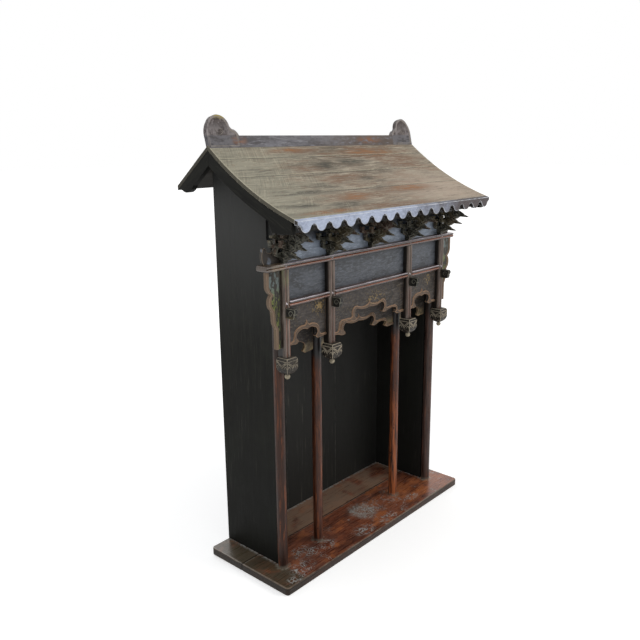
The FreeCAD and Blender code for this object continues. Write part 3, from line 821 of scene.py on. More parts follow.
@dataclass(frozen=True)
class ApronFinish(WoodFinish):
    """Carved aprons with a brown rim and flecks of gold."""

    rim: Shade = (92, 74, 60)
    gold: Shade = (146, 122, 72)
    foot: Shade = (150, 134, 102)
    gold_places: tuple[Place, ...] = ()

    def tint(self, p: Painter) -> None:
        """Colour the rim, scatter the gold and leave pale paint on the feet.

        Args:
            p: Painter of the material.
        """
        z = p.place[2]
        patchy = p.between(p.cloud(60.0, 4.0, 0.6), 0.34, 0.62)
        rubs = p.cloud((60.0, 200.0, 200.0), 5.0, 0.7)
        p.lay(self.light, p.between(rubs, 0.53, 0.70), 0.5)
        p.lay(self.deep, p.between(rubs, 0.47, 0.36), 0.7)
        p.lay(self.foot, p.between(z, 0.650, 0.626), p.between(patchy, 0.0, 1.0, 0.3, 1.0), 0.7)
        p.lay(self.rim, p.stored(RIM_MARK), p.plus(0.45, p.times(patchy, 0.45)))
        flecks = p.remains(190.0, 0.40)
        p.lay(self.gold, flecks, p.plus(0.12, p.times(p.spots(self.gold_places, 0.8), 0.6)))


@dataclass(frozen=True)
class WingFinish(WoodFinish):
    """Wings with a brown rim and remains of blue and green paint."""

    rim: Shade = (104, 86, 70)
    blue: Shade = (101, 113, 112)
    green: Shade = (112, 120, 62)

    def tint(self, p: Painter) -> None:
        """Lay the paint on the field inside the rim, and paint shade on the faces that turn in towards the
        post.

        Args:
            p: Painter of the material.
        """
        x, _, z = p.place
        wide = p.bulk(x)
        flakes = p.remains(110.0, 0.50, p.vector("MULTIPLY", p.plain, (1.0, 1.0, 0.5)))
        paint = p.mix(p.between(z, 0.79, 0.84), self.green, self.blue)
        p.lay(paint, flakes, p.between(wide, 0.372, 0.378), 0.8)
        outward = p.times(p.calc("SIGN", x), p.facing()[0])
        p.lay(self.rim, p.most(p.stored(RIM_MARK), p.between(outward, 0.2, 0.6)), 0.92)
        # Painted shade on the faces that turn in towards the post.
        p.lay(self.deep, p.between(outward, -0.5, -0.9))


@dataclass(frozen=True)
class CarvingFinish(WoodFinish):
    """Dark carving with remains of grey-green, ochre and red paint."""

    flakes: Shade = (150, 148, 136)
    ochre: Shade = (92, 80, 54)
    red: Shade = (86, 60, 50)
    cover: float = 0.36

    def tint(self, p: Painter) -> None:
        """Lay the remains of paint in patches, thicker on the faces that look up, which also paints light
        on the tops.

        Args:
            p: Painter of the material.
        """
        area = p.noise(p.plain, 17.0, 3.0, output=1)
        ochre, red, _ = p.split(area)
        p.lay(self.ochre, p.between(ochre, 0.54, 0.62), 0.45)
        p.lay(self.red, p.between(red, 0.56, 0.64), 0.5)
        remains = p.remains(120.0, self.cover)
        # Real remains of paint, laid thicker on faces that look up: this part is painted light on the tops.
        up = p.between(p.facing()[2], -0.2, 0.8, 0.35, 1.0)
        p.lay(self.flakes, remains, up, 0.75)


@dataclass(frozen=True)
class ColumnFinish(WoodFinish):
    """Lacquered columns, cooler towards the top and dusty at the foot."""

    cool: Shade = (29, 32, 33)
    # Colour of the glowing streaks of lacquer, and also of the painted highlight.
    glow: Shade = (176, 98, 54)
    powder: Shade = (130, 124, 112)
    faded: Shade = (74, 64, 61)
    cool_from: float = 0.60

    def tint(self, p: Painter) -> None:
        """Let the lacquer glow in streaks, paint a highlight on the right inner column, cool the top and
        dust the foot.

        Args:
            p: Painter of the material.
        """
        z = p.place[2]
        streaks = p.cloud((120.0, 120.0, 10.0), 4.0, 0.6)
        p.lay(self.glow, p.between(streaks, 0.52, 0.70), 0.45)
        p.lay(self.deep, p.between(streaks, 0.47, 0.34), 0.5)
        p.lay(self.deep, p.between(p.place[0], 0.05, -0.36), 0.35)
        # Painted highlight: a warm pool of light on the lower front of the right inner column.
        painted_highlight = p.spot((0.187, -0.052, 0.12), (0.05, 0.05, 0.32))
        p.lay(self.glow, painted_highlight, p.between(streaks, 0.40, 0.58), 0.6)
        p.lay(self.faded, p.between(p.place[0], 0.24, 0.32), p.between(streaks, 0.30, 0.55), 0.6)
        nicks = p.cloud((90.0, 90.0, 60.0), 3.0, 0.6)
        p.lay(self.deep, p.between(nicks, 0.62, 0.68), 0.8)
        ragged = p.ragged(z, 0.2, 20.0, 3.0)
        p.lay(self.cool, p.between(ragged, self.cool_from - 0.05, self.cool_from + 0.03), 0.92)
        p.lay(self.powder, p.between(z, 0.034, 0.024), 0.5)


@dataclass(frozen=True)
class StainFinish(WoodFinish):
    """Nearly black stain with thin upright rubs, painted light that greys it towards the top and on the
    inner faces, and a darker foot.
    """

    scratch: Shade = (84, 82, 76)
    clouds: Shade = (38, 40, 33)
    foot: Shade = (12, 12, 10)
    # Colour of the painted light towards the top.
    top_light: Shade = (64, 64, 63)
    # Colour of the painted light on the inner faces.
    inner: Shade = (42, 42, 40)
    scratches: float = 0.22

    def tint(self, p: Painter) -> None:
        """Add faint greenish clouds and upright rubs, painted light at the top and on the inner faces, and
        the darker foot.

        Args:
            p: Painter of the material.
        """
        x, _, z = p.place
        p.lay(self.clouds, p.between(p.cloud(6.0, 4.0, 0.6), 0.46, 0.66), 0.5)
        p.lay(self.foot, p.between(z, 0.75, 0.15), 0.70)
        # Painted light: the stain turns greyer towards the top.
        p.lay(self.top_light, p.between(z, 0.60, 1.04), 0.95)
        # Painted light: the faces inside the box are made lighter.
        p.lay(self.inner, p.between(p.bulk(x), 0.352, 0.346), 0.45)
        rubs = p.cloud((150.0, 150.0, 7.0), 3.0, 0.6)
        rare = p.between(p.cloud(9.0, 3.0), 0.46, 0.64)
        p.lay(self.scratch, p.between(rubs, 0.56, 0.72), rare, self.scratches)


# ----------------------------------------------------------------- bench


class Bench:
    """Modelling steps that the sub-assemblies share."""

    slots = {row["node"]: row["material_slot"] for row in frame["record"]["subparts"]}
    pieces: list[str] = []

    @staticmethod
    def clear() -> None:
        """Leave edit mode and deselect everything."""
        if bpy.context.object is not None and bpy.context.object.mode != "OBJECT":
            bpy.ops.object.mode_set(mode="OBJECT")
        bpy.ops.object.select_all(action="DESELECT")

    @classmethod
    def start(cls, primitive: Callable[..., Any], **settings: Any) -> Piece:
        """Add a primitive and return it.

        Args:
            primitive: Operator that adds it.
            settings: Its options.

        Returns:
            The new object.
        """
        cls.clear()
        primitive(**settings)
        return bpy.context.object

    @classmethod
    def take(cls, *objects: Piece) -> None:
        """Select these objects alone.  The first is the active one.

        Args:
            objects: What to select.
        """
        cls.clear()
        for obj in objects:
            obj.select_set(True)
        bpy.context.view_layer.objects.active = objects[0]

    @classmethod
    def edit(cls, obj: Piece, work: Callable[[], None]) -> None:
        """Run edit mode operators on an object, with all of it selected.

        Args:
            obj: The object.
            work: Runs the operators.
        """
        cls.take(obj)
        bpy.ops.object.mode_set(mode="EDIT")
        bpy.ops.mesh.select_all(action="SELECT")
        work()
        bpy.ops.object.mode_set(mode="OBJECT")

    @classmethod
    def pick(cls, obj: Piece, wanted: Callable[[Face], bool], work: Callable[[], None]) -> None:
        """Run edit mode operators on the faces that wanted picks.

        Args:
            obj: The object.
            wanted: Says whether a face is picked.
            work: Runs the operators.
        """
        cls.take(obj)
        bpy.ops.object.mode_set(mode="EDIT")
        bpy.ops.mesh.select_mode(type="FACE")
        bpy.ops.mesh.select_all(action="DESELECT")
        bpy.ops.object.mode_set(mode="OBJECT")
        for face in obj.data.polygons:
            face.select = wanted(face)
        bpy.ops.object.mode_set(mode="EDIT")
        work()
        bpy.ops.object.mode_set(mode="OBJECT")

    @classmethod
    def modify(cls, obj: Piece, kind: str, **settings: Any) -> None:
        """Add a modifier and apply it.

        Args:
            obj: The object.
            kind: Kind of modifier.
            settings: Its properties.
        """
        cls.take(obj)
        modifier = obj.modifiers.new(kind.lower(), kind)
        for key, value in settings.items():
            setattr(modifier, key, value)
        bpy.ops.object.modifier_apply(modifier=modifier.name)

    @classmethod
    def settle(cls, obj: Piece) -> None:
        """Put an object's place, turn and size into its mesh."""
        cls.take(obj)
        bpy.ops.object.transform_apply(location=True, rotation=True, scale=True)

    @classmethod
    def join(cls, objects: Sequence[Piece], name: str) -> Piece:
        """Join objects into the first of them and name the result.

        Args:
            objects: What to join.
            name: Name of the result.

        Returns:
            The joined object.
        """
        cls.take(*objects)
        if len(objects) > 1:
            bpy.ops.object.join()
        objects[0].name = name
        objects[0].data.name = name
        return objects[0]

    @classmethod
    def copy(cls, obj: Piece, move: Matrix) -> Piece:
        """Copy an object with its own mesh and move the mesh.

        Args:
            obj: The object.
            move: How the copy is moved, turned or mirrored.

        Returns:
            The copy.
        """
        twin = obj.copy()
        twin.data = obj.data.copy()
        bpy.context.scene.collection.objects.link(twin)
        twin.data.transform(move)
        if move.determinant() < 0:
            twin.data.flip_normals()
        return twin

    @staticmethod
    def mark(obj: Piece, name: str, value: Callable[[Face], float]) -> None:
        """Store a number on each face for the finishes to read.

        Args:
            obj: The object.
            name: Name of the number.
            value: Gives the number of a face.
        """
        mesh = obj.data
        layer = mesh.attributes.get(name) or mesh.attributes.new(name, "FLOAT", "FACE")
        layer.data.foreach_set("value", [value(face) for face in mesh.polygons])

    @classmethod
    def solid_of(cls, node: str) -> Piece:
        """Return a copy of a CAD node whose loose triangles are merged into faces.

        Args:
            node: The CAD node.

        Returns:
            The copy.
        """
        obj = bpy.data.objects.new(node + "_dressed", frame["nodes"][node].data.copy())
        obj.data.materials.clear()
        bpy.context.scene.collection.objects.link(obj)

        def merge() -> None:
            """Weld the triangles and dissolve the flat ones."""
            bpy.ops.mesh.customdata_custom_splitnormals_clear()
            bpy.ops.mesh.remove_doubles(threshold=SAME_PLACE)
            bpy.ops.mesh.dissolve_limited(angle_limit=math.radians(0.5))

        cls.edit(obj, merge)
        return obj

    @staticmethod
    def cut(axis: int, at: float, keep_above: bool) -> None:
        """Cut what is selected with a plane, drop one side and close the cut.

        Args:
            axis: 0, 1 or 2 for X, Y or Z, across which the plane lies.
            at: Where it lies.
            keep_above: Whether the side above it stays.
        """
        normal = [float(i == axis) for i in range(3)]
        sides = {"clear_inner": keep_above, "clear_outer": not keep_above}
        bpy.ops.mesh.bisect(plane_co=[at * n for n in normal], plane_no=normal, use_fill=True, **sides)

    @classmethod
    def slice(cls, obj: Piece, axis: int, places: Sequence[float]) -> Piece:
        """Cut a solid into planks across one axis.

        Args:
            obj: The solid, which is used up.
            axis: 0, 1 or 2 for X, Y or Z.
            places: Where the joints are, in rising order.

        Returns:
            One object that holds the separate planks.
        """
        limits = [-math.inf, *places, math.inf]
        planks = []
        for number, (low, high) in enumerate(zip(limits, limits[1:])):
            plank = cls.copy(obj, Matrix.Identity(4))

            def trim(low: float = low, high: float = high) -> None:
                """Cut away what lies outside the plank.

                Args:
                    low: Where the plank starts.
                    high: Where it ends.
                """
                if low > -math.inf:
                    cls.cut(axis, low, keep_above=True)
                    bpy.ops.mesh.select_all(action="SELECT")
                if high < math.inf:
                    cls.cut(axis, high, keep_above=False)

            cls.edit(plank, trim)
            cls.mark(plank, BOARD_MARK, lambda face, number=number: number + 1.0)
            planks.append(plank)
        name = obj.name
        bpy.data.objects.remove(obj)
        return cls.join(planks, name)

    @classmethod
    def ease(cls, obj: Piece, width: float, angle: float = 32.0, segments: int = 2) -> Piece:
        """Round the hard edges of a solid and mark the rounded faces as edges.

        Args:
            obj: The solid.
            width: Width of the rounding.
            angle: Edges sharper than this, in degrees, are rounded.
            segments: Faces across each rounding.

        Returns:
            The same object.
        """
        mesh = obj.data
        if mesh.attributes.get(BOARD_MARK) is None:
            number = float(sum(map(ord, obj.name)) % 23)
            cls.mark(obj, BOARD_MARK, lambda face: number)
        while len(mesh.materials) < 2:
            mesh.materials.append(None)
        settings = {"limit_method": "ANGLE", "angle_limit": math.radians(angle), "material": 1}
        cls.modify(obj, "BEVEL", width=width, segments=segments, **settings)
        cls.mark(obj, EDGE_MARK, lambda face: float(face.material_index == 1))
        for face in mesh.polygons:
            face.material_index = 0
        mesh.materials.clear()
        cls.take(obj)
        bpy.ops.object.shade_smooth_by_angle(angle=math.radians(38))
        cls.modify(obj, "WEIGHTED_NORMAL", keep_sharp=True)
        return obj

    @classmethod
    def deliver(cls, obj: Piece, material: Material, *nodes: str, slot: str | None = None) -> Piece:
        """Give a piece its finish and hang it on the frame.

        Args:
            obj: The piece.
            material: Its finish.
            nodes: CAD nodes that it stands for.
            slot: Slot of the record, where the piece stands for no node; not used.

        Returns:
            The same object.
        """
        obj.data.materials.clear()
        obj.data.materials.append(material)
        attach(obj, BODY)
        if nodes:
            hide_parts(*nodes)
        cls.pieces.append(obj.name)
        return obj

    @staticmethod
    def paint(node: str, material: Material) -> None:
        """Give a CAD node its finish.

        Args:
            node: The CAD node.
            material: Its finish.
        """
        data = frame["nodes"][node].data
        data.materials.clear()
        data.materials.append(material)

    @classmethod
    def carved_line(cls, points: Sequence[Point], radius: float) -> Piece:
        """Make a raised round line that follows points.

        Args:
            points: Control points of the line.
            radius: Half its thickness.

        Returns:
            A closed tube as a mesh.
        """
        curve = cls.start(bpy.ops.curve.primitive_nurbs_path_add, location=(0.0, 0.0, 0.0))
        spline = curve.data.splines[0]
        if len(points) < len(spline.points):
            raise ValueError("a carved line needs five points or more")
        spline.points.add(len(points) - len(spline.points))
        for target, point in zip(spline.points, points):
            target.co = (*point, 1.0)
        spline.order_u = 3
        spline.use_endpoint_u = True
        spline.resolution_u = 3
        curve.data.bevel_depth = radius
        curve.data.bevel_resolution = 1
        curve.data.use_fill_caps = True
        bpy.ops.object.convert(target="MESH")
        line = bpy.context.object

        def clean() -> None:
            """Close the ends and turn the faces outwards."""
            bpy.ops.mesh.remove_doubles(threshold=1e-6)
            bpy.ops.mesh.normals_make_consistent(inside=False)

        cls.edit(line, clean)
        cls.take(line)
        bpy.ops.object.shade_smooth()
        cls.mark(line, EDGE_MARK, lambda face: 1.0)
        return line


# --------------------------------------------------------- sub-assemblies


def middle_x(node: str) -> float:
    """Find the middle of a CAD node across the shrine.

    Args:
        node: The CAD node.

    Returns:
        Its X.
    """
    low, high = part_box(node)
    return (low.x + high.x) / 2


@dataclass
class SubAssembly:
    """A group of pieces that are dressed together."""

    finishes: dict[str, Material]

    def build(self) -> None:
        """Build and dress the pieces."""
        raise NotImplementedError

    def board(self, node: str, finish: str, width: float, **options: Any) -> Piece:
        """Carry a board over with eased edges.

        Args:
            node: The CAD node.
            finish: Name of its finish.
            width: Width of the easing.
            options: More of Bench.ease.

        Returns:
            The board.
        """
        piece = Bench.ease(Bench.solid_of(node), width, **options)
        return Bench.deliver(piece, self.finishes[finish], node)


@dataclass
class Plinth(SubAssembly):
    """The two planks that the shrine stands on."""

    edge: float = 0.0028
    seam: float = BASE_SEAM

    def build(self) -> None:
        """Ease the planks' edges, and leave those of the seam between them dark."""
        for node in ("base_front_board", "base_back_board"):
            plank = Bench.ease(Bench.solid_of(node), self.edge)
            marks = [item.value for item in plank.data.attributes[EDGE_MARK].data]

            def worn(face: Face, marks: list[float] = marks) -> float:
                """Keep the mark of a face, except at the seam."""
                return 0.0 if abs(face.center.y - self.seam) < 2 * self.edge else marks[face.index]

            Bench.mark(plank, EDGE_MARK, worn)
            Bench.deliver(plank, self.finishes["base"], node)


@dataclass
class Box(SubAssembly):
    """Side walls, back wall and lintel."""

    edge: float = 0.0012
    wall_joints: tuple[float, ...] = (0.078,)
    back_joints: tuple[float, ...] = (-0.12, 0.115)

    def build(self) -> None:
        """Cut the walls into planks and ease them."""
        walls = (
            ("left_wall", "wall", 1, self.wall_joints),
            ("right_wall", "wall", 1, self.wall_joints),
            ("back_wall", "back", 0, self.back_joints),
        )
        for node, finish, axis, joints in walls:
            planks = Bench.slice(Bench.solid_of(node), axis, joints)
            Bench.deliver(Bench.ease(planks, self.edge), self.finishes[finish], node)
        Bench.paint("lintel", self.finishes["beam"])
        for side in SIDES:
            Bench.paint(side + "_cheek", self.finishes["wall"])


@dataclass
class Columns(SubAssembly):
    """The four round columns."""

    edge: float = 0.0015

    def build(self) -> None:
        """Ease the columns' ends."""
        for place in POSTS:
            self.board(place + "_column", place.split("_")[0] + "_column", self.edge)


@dataclass
class Frieze(SubAssembly):
    """Rails, hanging posts, panels, aprons and wings."""

    edge: float = 0.0010
    rim_edge: float = 0.0018
    rim_depth: float = 0.0012
    knot_width: float = 0.023
    knot_height: float = 0.0056
    knot_seat: float = 0.0020
    overlap: float = 0.0008
    bead_reach: float = 0.02
    flower: Point = (-0.219, -0.0938, 0.751)
    leaf: Point = (0.0, -0.0938, 0.727)

    def rimmed(self, node: str, finish: str) -> None:
        """Carry over a board with a carved rim, and mark the rim.

        Args:
            node: The CAD node.
            finish: Name of its finish.
        """
        piece = Bench.ease(Bench.solid_of(node), self.rim_edge)
        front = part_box(node)[0].y
        Bench.mark(piece, RIM_MARK, lambda face: float(face.center.y < front + self.rim_depth))
        Bench.deliver(piece, self.finishes[finish], node)

    def beaded(self, node: str) -> None:
        """Carry over a rail and tell its upper bead from its lower one.

        Args:
            node: The CAD node.
        """
        piece = Bench.ease(Bench.solid_of(node), self.edge)
        low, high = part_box(node)
        Bench.mark(piece, BEAD_MARK, lambda face: float(face.center.z > (low.z + high.z) / 2))
        Bench.deliver(piece, self.finishes["rail"], node)

    def knots(self) -> None:
        """Cover the crossings of posts and rails with low mitred pyramids."""
        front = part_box("upper_rail")[0].y
        knots = []
        for post in POSTS:
            for rail in ("upper_rail", "lower_rail"):
                bottom, top = (corner.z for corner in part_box(rail))
                shape = {"radius1": math.sqrt(0.5), "radius2": 0.06, "depth": self.knot_height}
                turn = (0.0, 0.0, math.pi / 4)
                knot = Bench.start(bpy.ops.mesh.primitive_cone_add, vertices=4, rotation=turn, **shape)
                knot.name = "crossing_knot"
                Bench.settle(knot)
                sizes = (self.knot_width + self.overlap, top - bottom + self.overlap, 1.0, 1.0)
                knot.data.transform(Matrix.Diagonal(sizes))
                knot.rotation_euler = (math.pi / 2, 0.0, 0.0)
                knot.location = (middle_x(post + "_post"), front + self.knot_seat, (bottom + top) / 2)
                Bench.settle(knot)
                knots.append(Bench.ease(knot, 0.0009, angle=12.0))
        piece = Bench.join(knots, "crossing_knots")
        heights = [(low.z + high.z) / 2 for low, high in map(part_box, ("upper_rail", "lower_rail"))]

        def upper(face: Face) -> float:
            """Tell whether a face is a little above the middle of a rail."""
            return float(any(0.0 < face.center.z - height < self.bead_reach for height in heights))

        Bench.mark(piece, BEAD_MARK, upper)
        Bench.deliver(piece, self.finishes["rail"], slot="rail_wood")

    def petal(self, centre: Point, reach: float, turn: float) -> Piece:
        """Make one flat petal that points away from a centre.

        Args:
            centre: Middle of the flower, on the board's face.
            reach: Length of the petal.
            turn: Angle from the X axis towards Z.

        Returns:
            The petal.
        """
        petal = Bench.start(bpy.ops.mesh.primitive_uv_sphere_add, segments=16, ring_count=8, radius=0.5)

        def flatten() -> None:
            """Make the ball long and thin and cut its back off."""
            bpy.ops.transform.resize(value=(reach, 0.0030, reach * 0.42))
            Bench.cut(1, 0.0004, keep_above=False)

        Bench.edit(petal, flatten)
        Bench.modify(petal, "SIMPLE_DEFORM", deform_method="TAPER", deform_axis="X", factor=-0.9)
        outward = Matrix.Translation((reach * 0.55, 0.0, 0.0))
        petal.data.transform(Matrix.Translation(centre) @ Matrix.Rotation(-turn, 4, "Y") @ outward)
        return petal

    def ornaments(self) -> None:
        """Add the gilt flower of the left apron and the leaf over the middle arch."""
        fans = (
            ("apron_flower", self.flower, 0.0135, (0.15, 1.0, 1.85, 2.7, 3.6, 5.6)),
            ("arch_leaf", self.leaf, 0.0100, (1.0, 1.57, 2.14)),
        )
        for name, centre, reach, turns in fans:
            petals = [self.petal(centre, reach, turn) for turn in turns]
            fan = Bench.ease(Bench.join(petals, name), 0.0002)
            Bench.deliver(fan, self.finishes["gilt"], slot="apron_wood")

    def build(self) -> None:
        """Dress the frieze from the rails down."""
        for node in ("upper_rail", "lower_rail"):
            self.beaded(node)
        self.knots()
        for place in POSTS:
            self.board(place + "_post", "post", self.edge)
        for bay in ("left", "middle", "right"):
            Bench.paint(bay + "_panel", self.finishes["panel"])
            self.rimmed(bay + "_apron", "apron")
        self.rimmed("middle_inner_apron", "apron")
        for side in SIDES:
            self.board(side + "_inner_apron", "apron", self.edge)
            self.rimmed(side + "_wing", "wing")
        self.ornaments()


@dataclass
class Pendants(SubAssembly):
    """Carved drops under the posts, and the beam ends."""

    profile: tuple[tuple[float, float], ...] = (
        (0.0, 17.2), (6.5, 20.0), (25.6, 20.0), (38.1, 16.0), (46.5, 6.0)
    )
    height: float = 0.0465
    widest: float = 20.0
    line: float = 0.0010
    ball: float = 0.0074
    ball_drop: float = 0.0062
    strokes: tuple[tuple[tuple[float, float], ...], ...] = (
        ((-18.6, 7.4), (-9.0, 7.3), (0.0, 7.2), (9.0, 7.3), (18.6, 7.4)),
        ((-17.6, 10.5), (-9.0, 17.5), (-1.6, 25.0), (0.0, 27.5), (1.6, 25.0), (9.0, 17.5), (17.6, 10.5)),
        ((-14.5, 9.8), (-8.0, 14.2), (-1.8, 19.6), (0.0, 21.6), (1.8, 19.6), (8.0, 14.2), (14.5, 9.8)),
        ((-18.8, 27.0), (-16.0, 18.5), (-10.5, 22.0), (-8.4, 31.0), (-12.5, 38.5)),
        ((18.8, 27.0), (16.0, 18.5), (10.5, 22.0), (8.4, 31.0), (12.5, 38.5)),
        ((-7.0, 41.5), (-5.6, 33.5), (0.0, 29.5), (5.6, 33.5), (7.0, 41.5)),
    )
    scroll: tuple[float, float] = (-0.1270, 0.7600)
    scroll_line: float = 0.0009
    cheek: float = 0.0061

    def out(self, drop: float) -> float:
        """Distance from a drop's axis to its face, in millimetres, some way below its top.

        Args:
            drop: How far below its top, in millimetres.

        Returns:
            The distance.
        """
        for (start, first), (end, last) in zip(self.profile, self.profile[1:]):
            if drop <= end:
                return first + (last - first) * (drop - start) / (end - start)
        return self.profile[-1][1]

    def carving(self, axis: Vector) -> list[Piece]:
        """Carve the strokes on the four sides of a drop.

        Args:
            axis: Middle of its top.

        Returns:
            The raised lines.
        """
        lines = []
        for stroke in self.strokes:
            points = []
            for across, drop in stroke:
                out = self.out(drop)
                points.append((across * out / self.widest / 1000, -(out + 0.1) / 1000, -drop / 1000))
            first = Bench.carved_line(points, self.line)
            for quarter in range(1, 4):
                turn = Matrix.Rotation(quarter * math.pi / 2, 4, "Z")
                lines.append(Bench.copy(first, Matrix.Translation(axis) @ turn))
            first.data.transform(Matrix.Translation(axis))
            lines.append(first)
        return lines

    def drop_ball(self, axis: Vector) -> Piece:
        """Make the ball under a drop, with a collar where it meets the drop.

        Args:
            axis: Middle of the drop's top.

        Returns:
            The ball.
        """
        centre = axis - Vector((0.0, 0.0, self.height + self.ball_drop))
        settings = {"segments": 24, "ring_count": 14, "radius": self.ball, "location": centre}
        ball = Bench.start(bpy.ops.mesh.primitive_uv_sphere_add, **settings)
        Bench.settle(ball)

        def collar() -> None:
            """Cut the top flat and draw it up into a collar."""
            Bench.cut(2, centre.z + self.ball * 0.72, keep_above=False)
            bpy.ops.mesh.extrude_region_move(TRANSFORM_OT_translate={"value": (0.0, 0.0, 0.0016)})

        Bench.edit(ball, collar)
        return Bench.ease(ball, 0.0003)

    def build(self) -> None:
        """Dress the drops and the beam ends."""
        for place in POSTS:
            node = place + "_pendant"
            low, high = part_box(node)
            axis = Vector(((low.x + high.x) / 2, (low.y + high.y) / 2, high.z))
            body = Bench.solid_of(node)
            Bench.edit(body, partial(Bench.cut, 2, high.z - self.height, keep_above=True))
            body = Bench.ease(body, 0.0012)
            piece = Bench.join([body, *self.carving(axis)], node + "_carved")
            Bench.deliver(piece, self.finishes["pendant"], node)
            ball = self.drop_ball(axis)
            ball.name = ball.data.name = place + "_drop_ball"
            Bench.deliver(ball, self.finishes["bone"], slot="bracket_wood")
        self.scrolls()

    def scrolls(self) -> None:
        """Carve a scroll on both cheeks of each beam end."""
        piece = Bench.ease(Bench.solid_of("beam_ends"), 0.0012)
        y, z = self.scroll
        turns = [(step * 0.75, 0.0100 - 0.00085 * step) for step in range(10)]
        lines = []
        for place in POSTS:
            for side in (-self.cheek, self.cheek):
                x = middle_x(place + "_post") + side
                points = [
                    (x, y - math.cos(angle) * reach, z + math.sin(angle) * reach) for angle, reach in turns
                ]
                lines.append(Bench.carved_line(points, self.scroll_line))
        carved = Bench.join([piece, *lines], "beam_ends_carved")
        Bench.deliver(carved, self.finishes["beam_end"], "beam_ends")


@dataclass
class Roof(SubAssembly):
    """Roof boards, bargeboards and the toothed eave board."""

    joints: tuple[float, ...] = ROOF_JOINTS
    edge: float = 0.0011
    barge_edge: float = 0.0014

    def build(self) -> None:
        """Cut the front slope into boards and dress the roof."""
        planks = Bench.slice(Bench.solid_of("roof_front"), 1, self.joints)
        Bench.deliver(Bench.ease(planks, self.edge), self.finishes["roof"], "roof_front")
        self.board("roof_rear", "roof_rear", self.edge)
        self.board("eave_board", "eave", self.edge)
        for side in SIDES:
            self.board(side + "_front_bargeboard", "barge_front", self.barge_edge)
            self.board(side + "_rear_bargeboard", "barge_rear", self.barge_edge)
        Bench.paint("eave_purlin", self.finishes["beam"])


@dataclass
class Ridge(SubAssembly):
    """Ridge board and its two crests."""

    lean: float = math.radians(13.0)
    foot: Point = (0.0, 0.078, 1.172)
    border: float = 0.0050
    depth: float = 0.0016
    swirl: tuple[float, float] = (0.392, 0.0360)
    flat: float = 0.72
    scroll_line: float = 0.0012

    def crest(self, side: str, sign: float) -> None:
        """Sink the field of a crest inside its rim and carve a scroll on it.

        Args:
            side: left or right.
            sign: -1 or 1, the side of the middle that it stands on.
        """
        node = side + "_ridge_end"
        piece = Bench.solid_of(node)

        def sink() -> None:
            """Inset the front and press it in."""
            bpy.ops.mesh.inset(thickness=self.border, depth=0.0)
            bpy.ops.mesh.inset(thickness=0.0010, depth=-self.depth)

        Bench.pick(piece, lambda face: face.normal.y < -0.9 and face.area > 0.001, sink)
        piece = Bench.ease(piece, 0.0010)
        ahead = Vector((0.0, -math.cos(self.lean), math.sin(self.lean)))
        front = max(face.center.dot(ahead) for face in piece.data.polygons)
        Bench.mark(piece, RIM_MARK, lambda face: float(face.center.dot(ahead) > front - 0.0008))
        x, z = self.swirl
        place = Matrix.Translation(self.foot) @ Matrix.Rotation(-self.lean, 4, "X")
        level = -0.0070 + self.depth
        lines = []
        for start, turn, grow in ((0.6, 0.62, 0.0019), (2.4, 0.55, 0.0016)):
            points = []
            for step in range(9):
                angle, reach = start + turn * step, grow * (step + 1.2)
                across, up = math.cos(angle) * reach, math.sin(angle) * reach * self.flat
                points.append((sign * (x + across), level, z + up))
            line = Bench.carved_line(points, self.scroll_line)
            line.data.transform(place)
            lines.append(line)
        carved = Bench.join([piece, *lines], node + "_carved")
        Bench.deliver(carved, self.finishes["crest"], node)

    def build(self) -> None:
        """Dress the ridge."""
        self.board("ridge_board", "ridge", 0.0016)
        self.crest("left", -1.0)
        self.crest("right", 1.0)


@dataclass
class Brackets(SubAssembly):
    """The five bracket clusters and the cove board behind them."""

    first_root: Point = (0.0, -0.1126, 0.9025)
    root_step: float = 0.0215
    tier_step: float = 0.0225
    leaf_rise: float = 0.0065
    edge: float = 0.0008
    leaf_edge: float = 0.0006
    leaves: tuple[tuple[float, float, float, float, float], ...] = (
        (0.0, 0.031, 0.0130, 0.0165, 0.0),
        (0.0100, 0.019, 0.0050, 0.0110, 0.34),
        (-0.0100, 0.019, 0.0050, 0.0110, -0.34),
    )

    def leaf(self, root: Vector, length: float, width: float, height: float, turn: float) -> Piece:
        """Make one carved leaf that points forward and droops at its tip.

        Args:
            root: Where it grows from.
            length: Its length.
            width: Its width at the root.
            height: Its height at the root.
            turn: How far it turns outwards.

        Returns:
            The leaf.
        """
        leaf = Bench.start(bpy.ops.mesh.primitive_cube_add, size=1.0)

        def shape() -> None:
            """Draw the block out and divide it."""
            bpy.ops.transform.resize(value=(length, width, height))
            bpy.ops.mesh.subdivide(number_cuts=3)

        Bench.edit(leaf, shape)
        Bench.modify(leaf, "SIMPLE_DEFORM", deform_method="TAPER", deform_axis="X", factor=1.45)
        leaf.data.transform(Matrix.Rotation(math.pi / 2, 4, "X"))
        Bench.modify(leaf, "SIMPLE_DEFORM", deform_method="BEND", deform_axis="Z", angle=0.40)
        leaf.data.transform(Matrix.Rotation(-math.pi / 2, 4, "X"))
        forward = Matrix.Rotation(math.pi / 2 + turn, 4, "Z")
        leaf.data.transform(
            Matrix.Translation(root) @ forward @ Matrix.Translation((-length * 0.45, 0.0, 0.0))
        )
        return leaf

    def build(self) -> None:
        """Dress the clusters, and wrap each beak in carved leaves."""
        for name in (*POSTS[:2], "middle", *POSTS[2:]):
            node = name + "_bracket"
            piece = Bench.ease(Bench.solid_of(node), self.edge)
            parts = []
            for tier in range(3):
                step = (middle_x(node), -tier * self.root_step, tier * self.tier_step + self.leaf_rise)
                root = Vector(self.first_root) + Vector(step)
                for aside, *sizes in self.leaves:
                    parts.append(self.leaf(root + Vector((aside, 0.0, 0.0)), *sizes))
            leaves = Bench.ease(Bench.join(parts, name + "_leaves"), self.leaf_edge)
            carved = Bench.join([piece, leaves], node + "_carved")
            Bench.deliver(carved, self.finishes["bracket"], node)
        self.board("cove_board", "cove", 0.0010)


# ---------------------------------------------------------------- studio


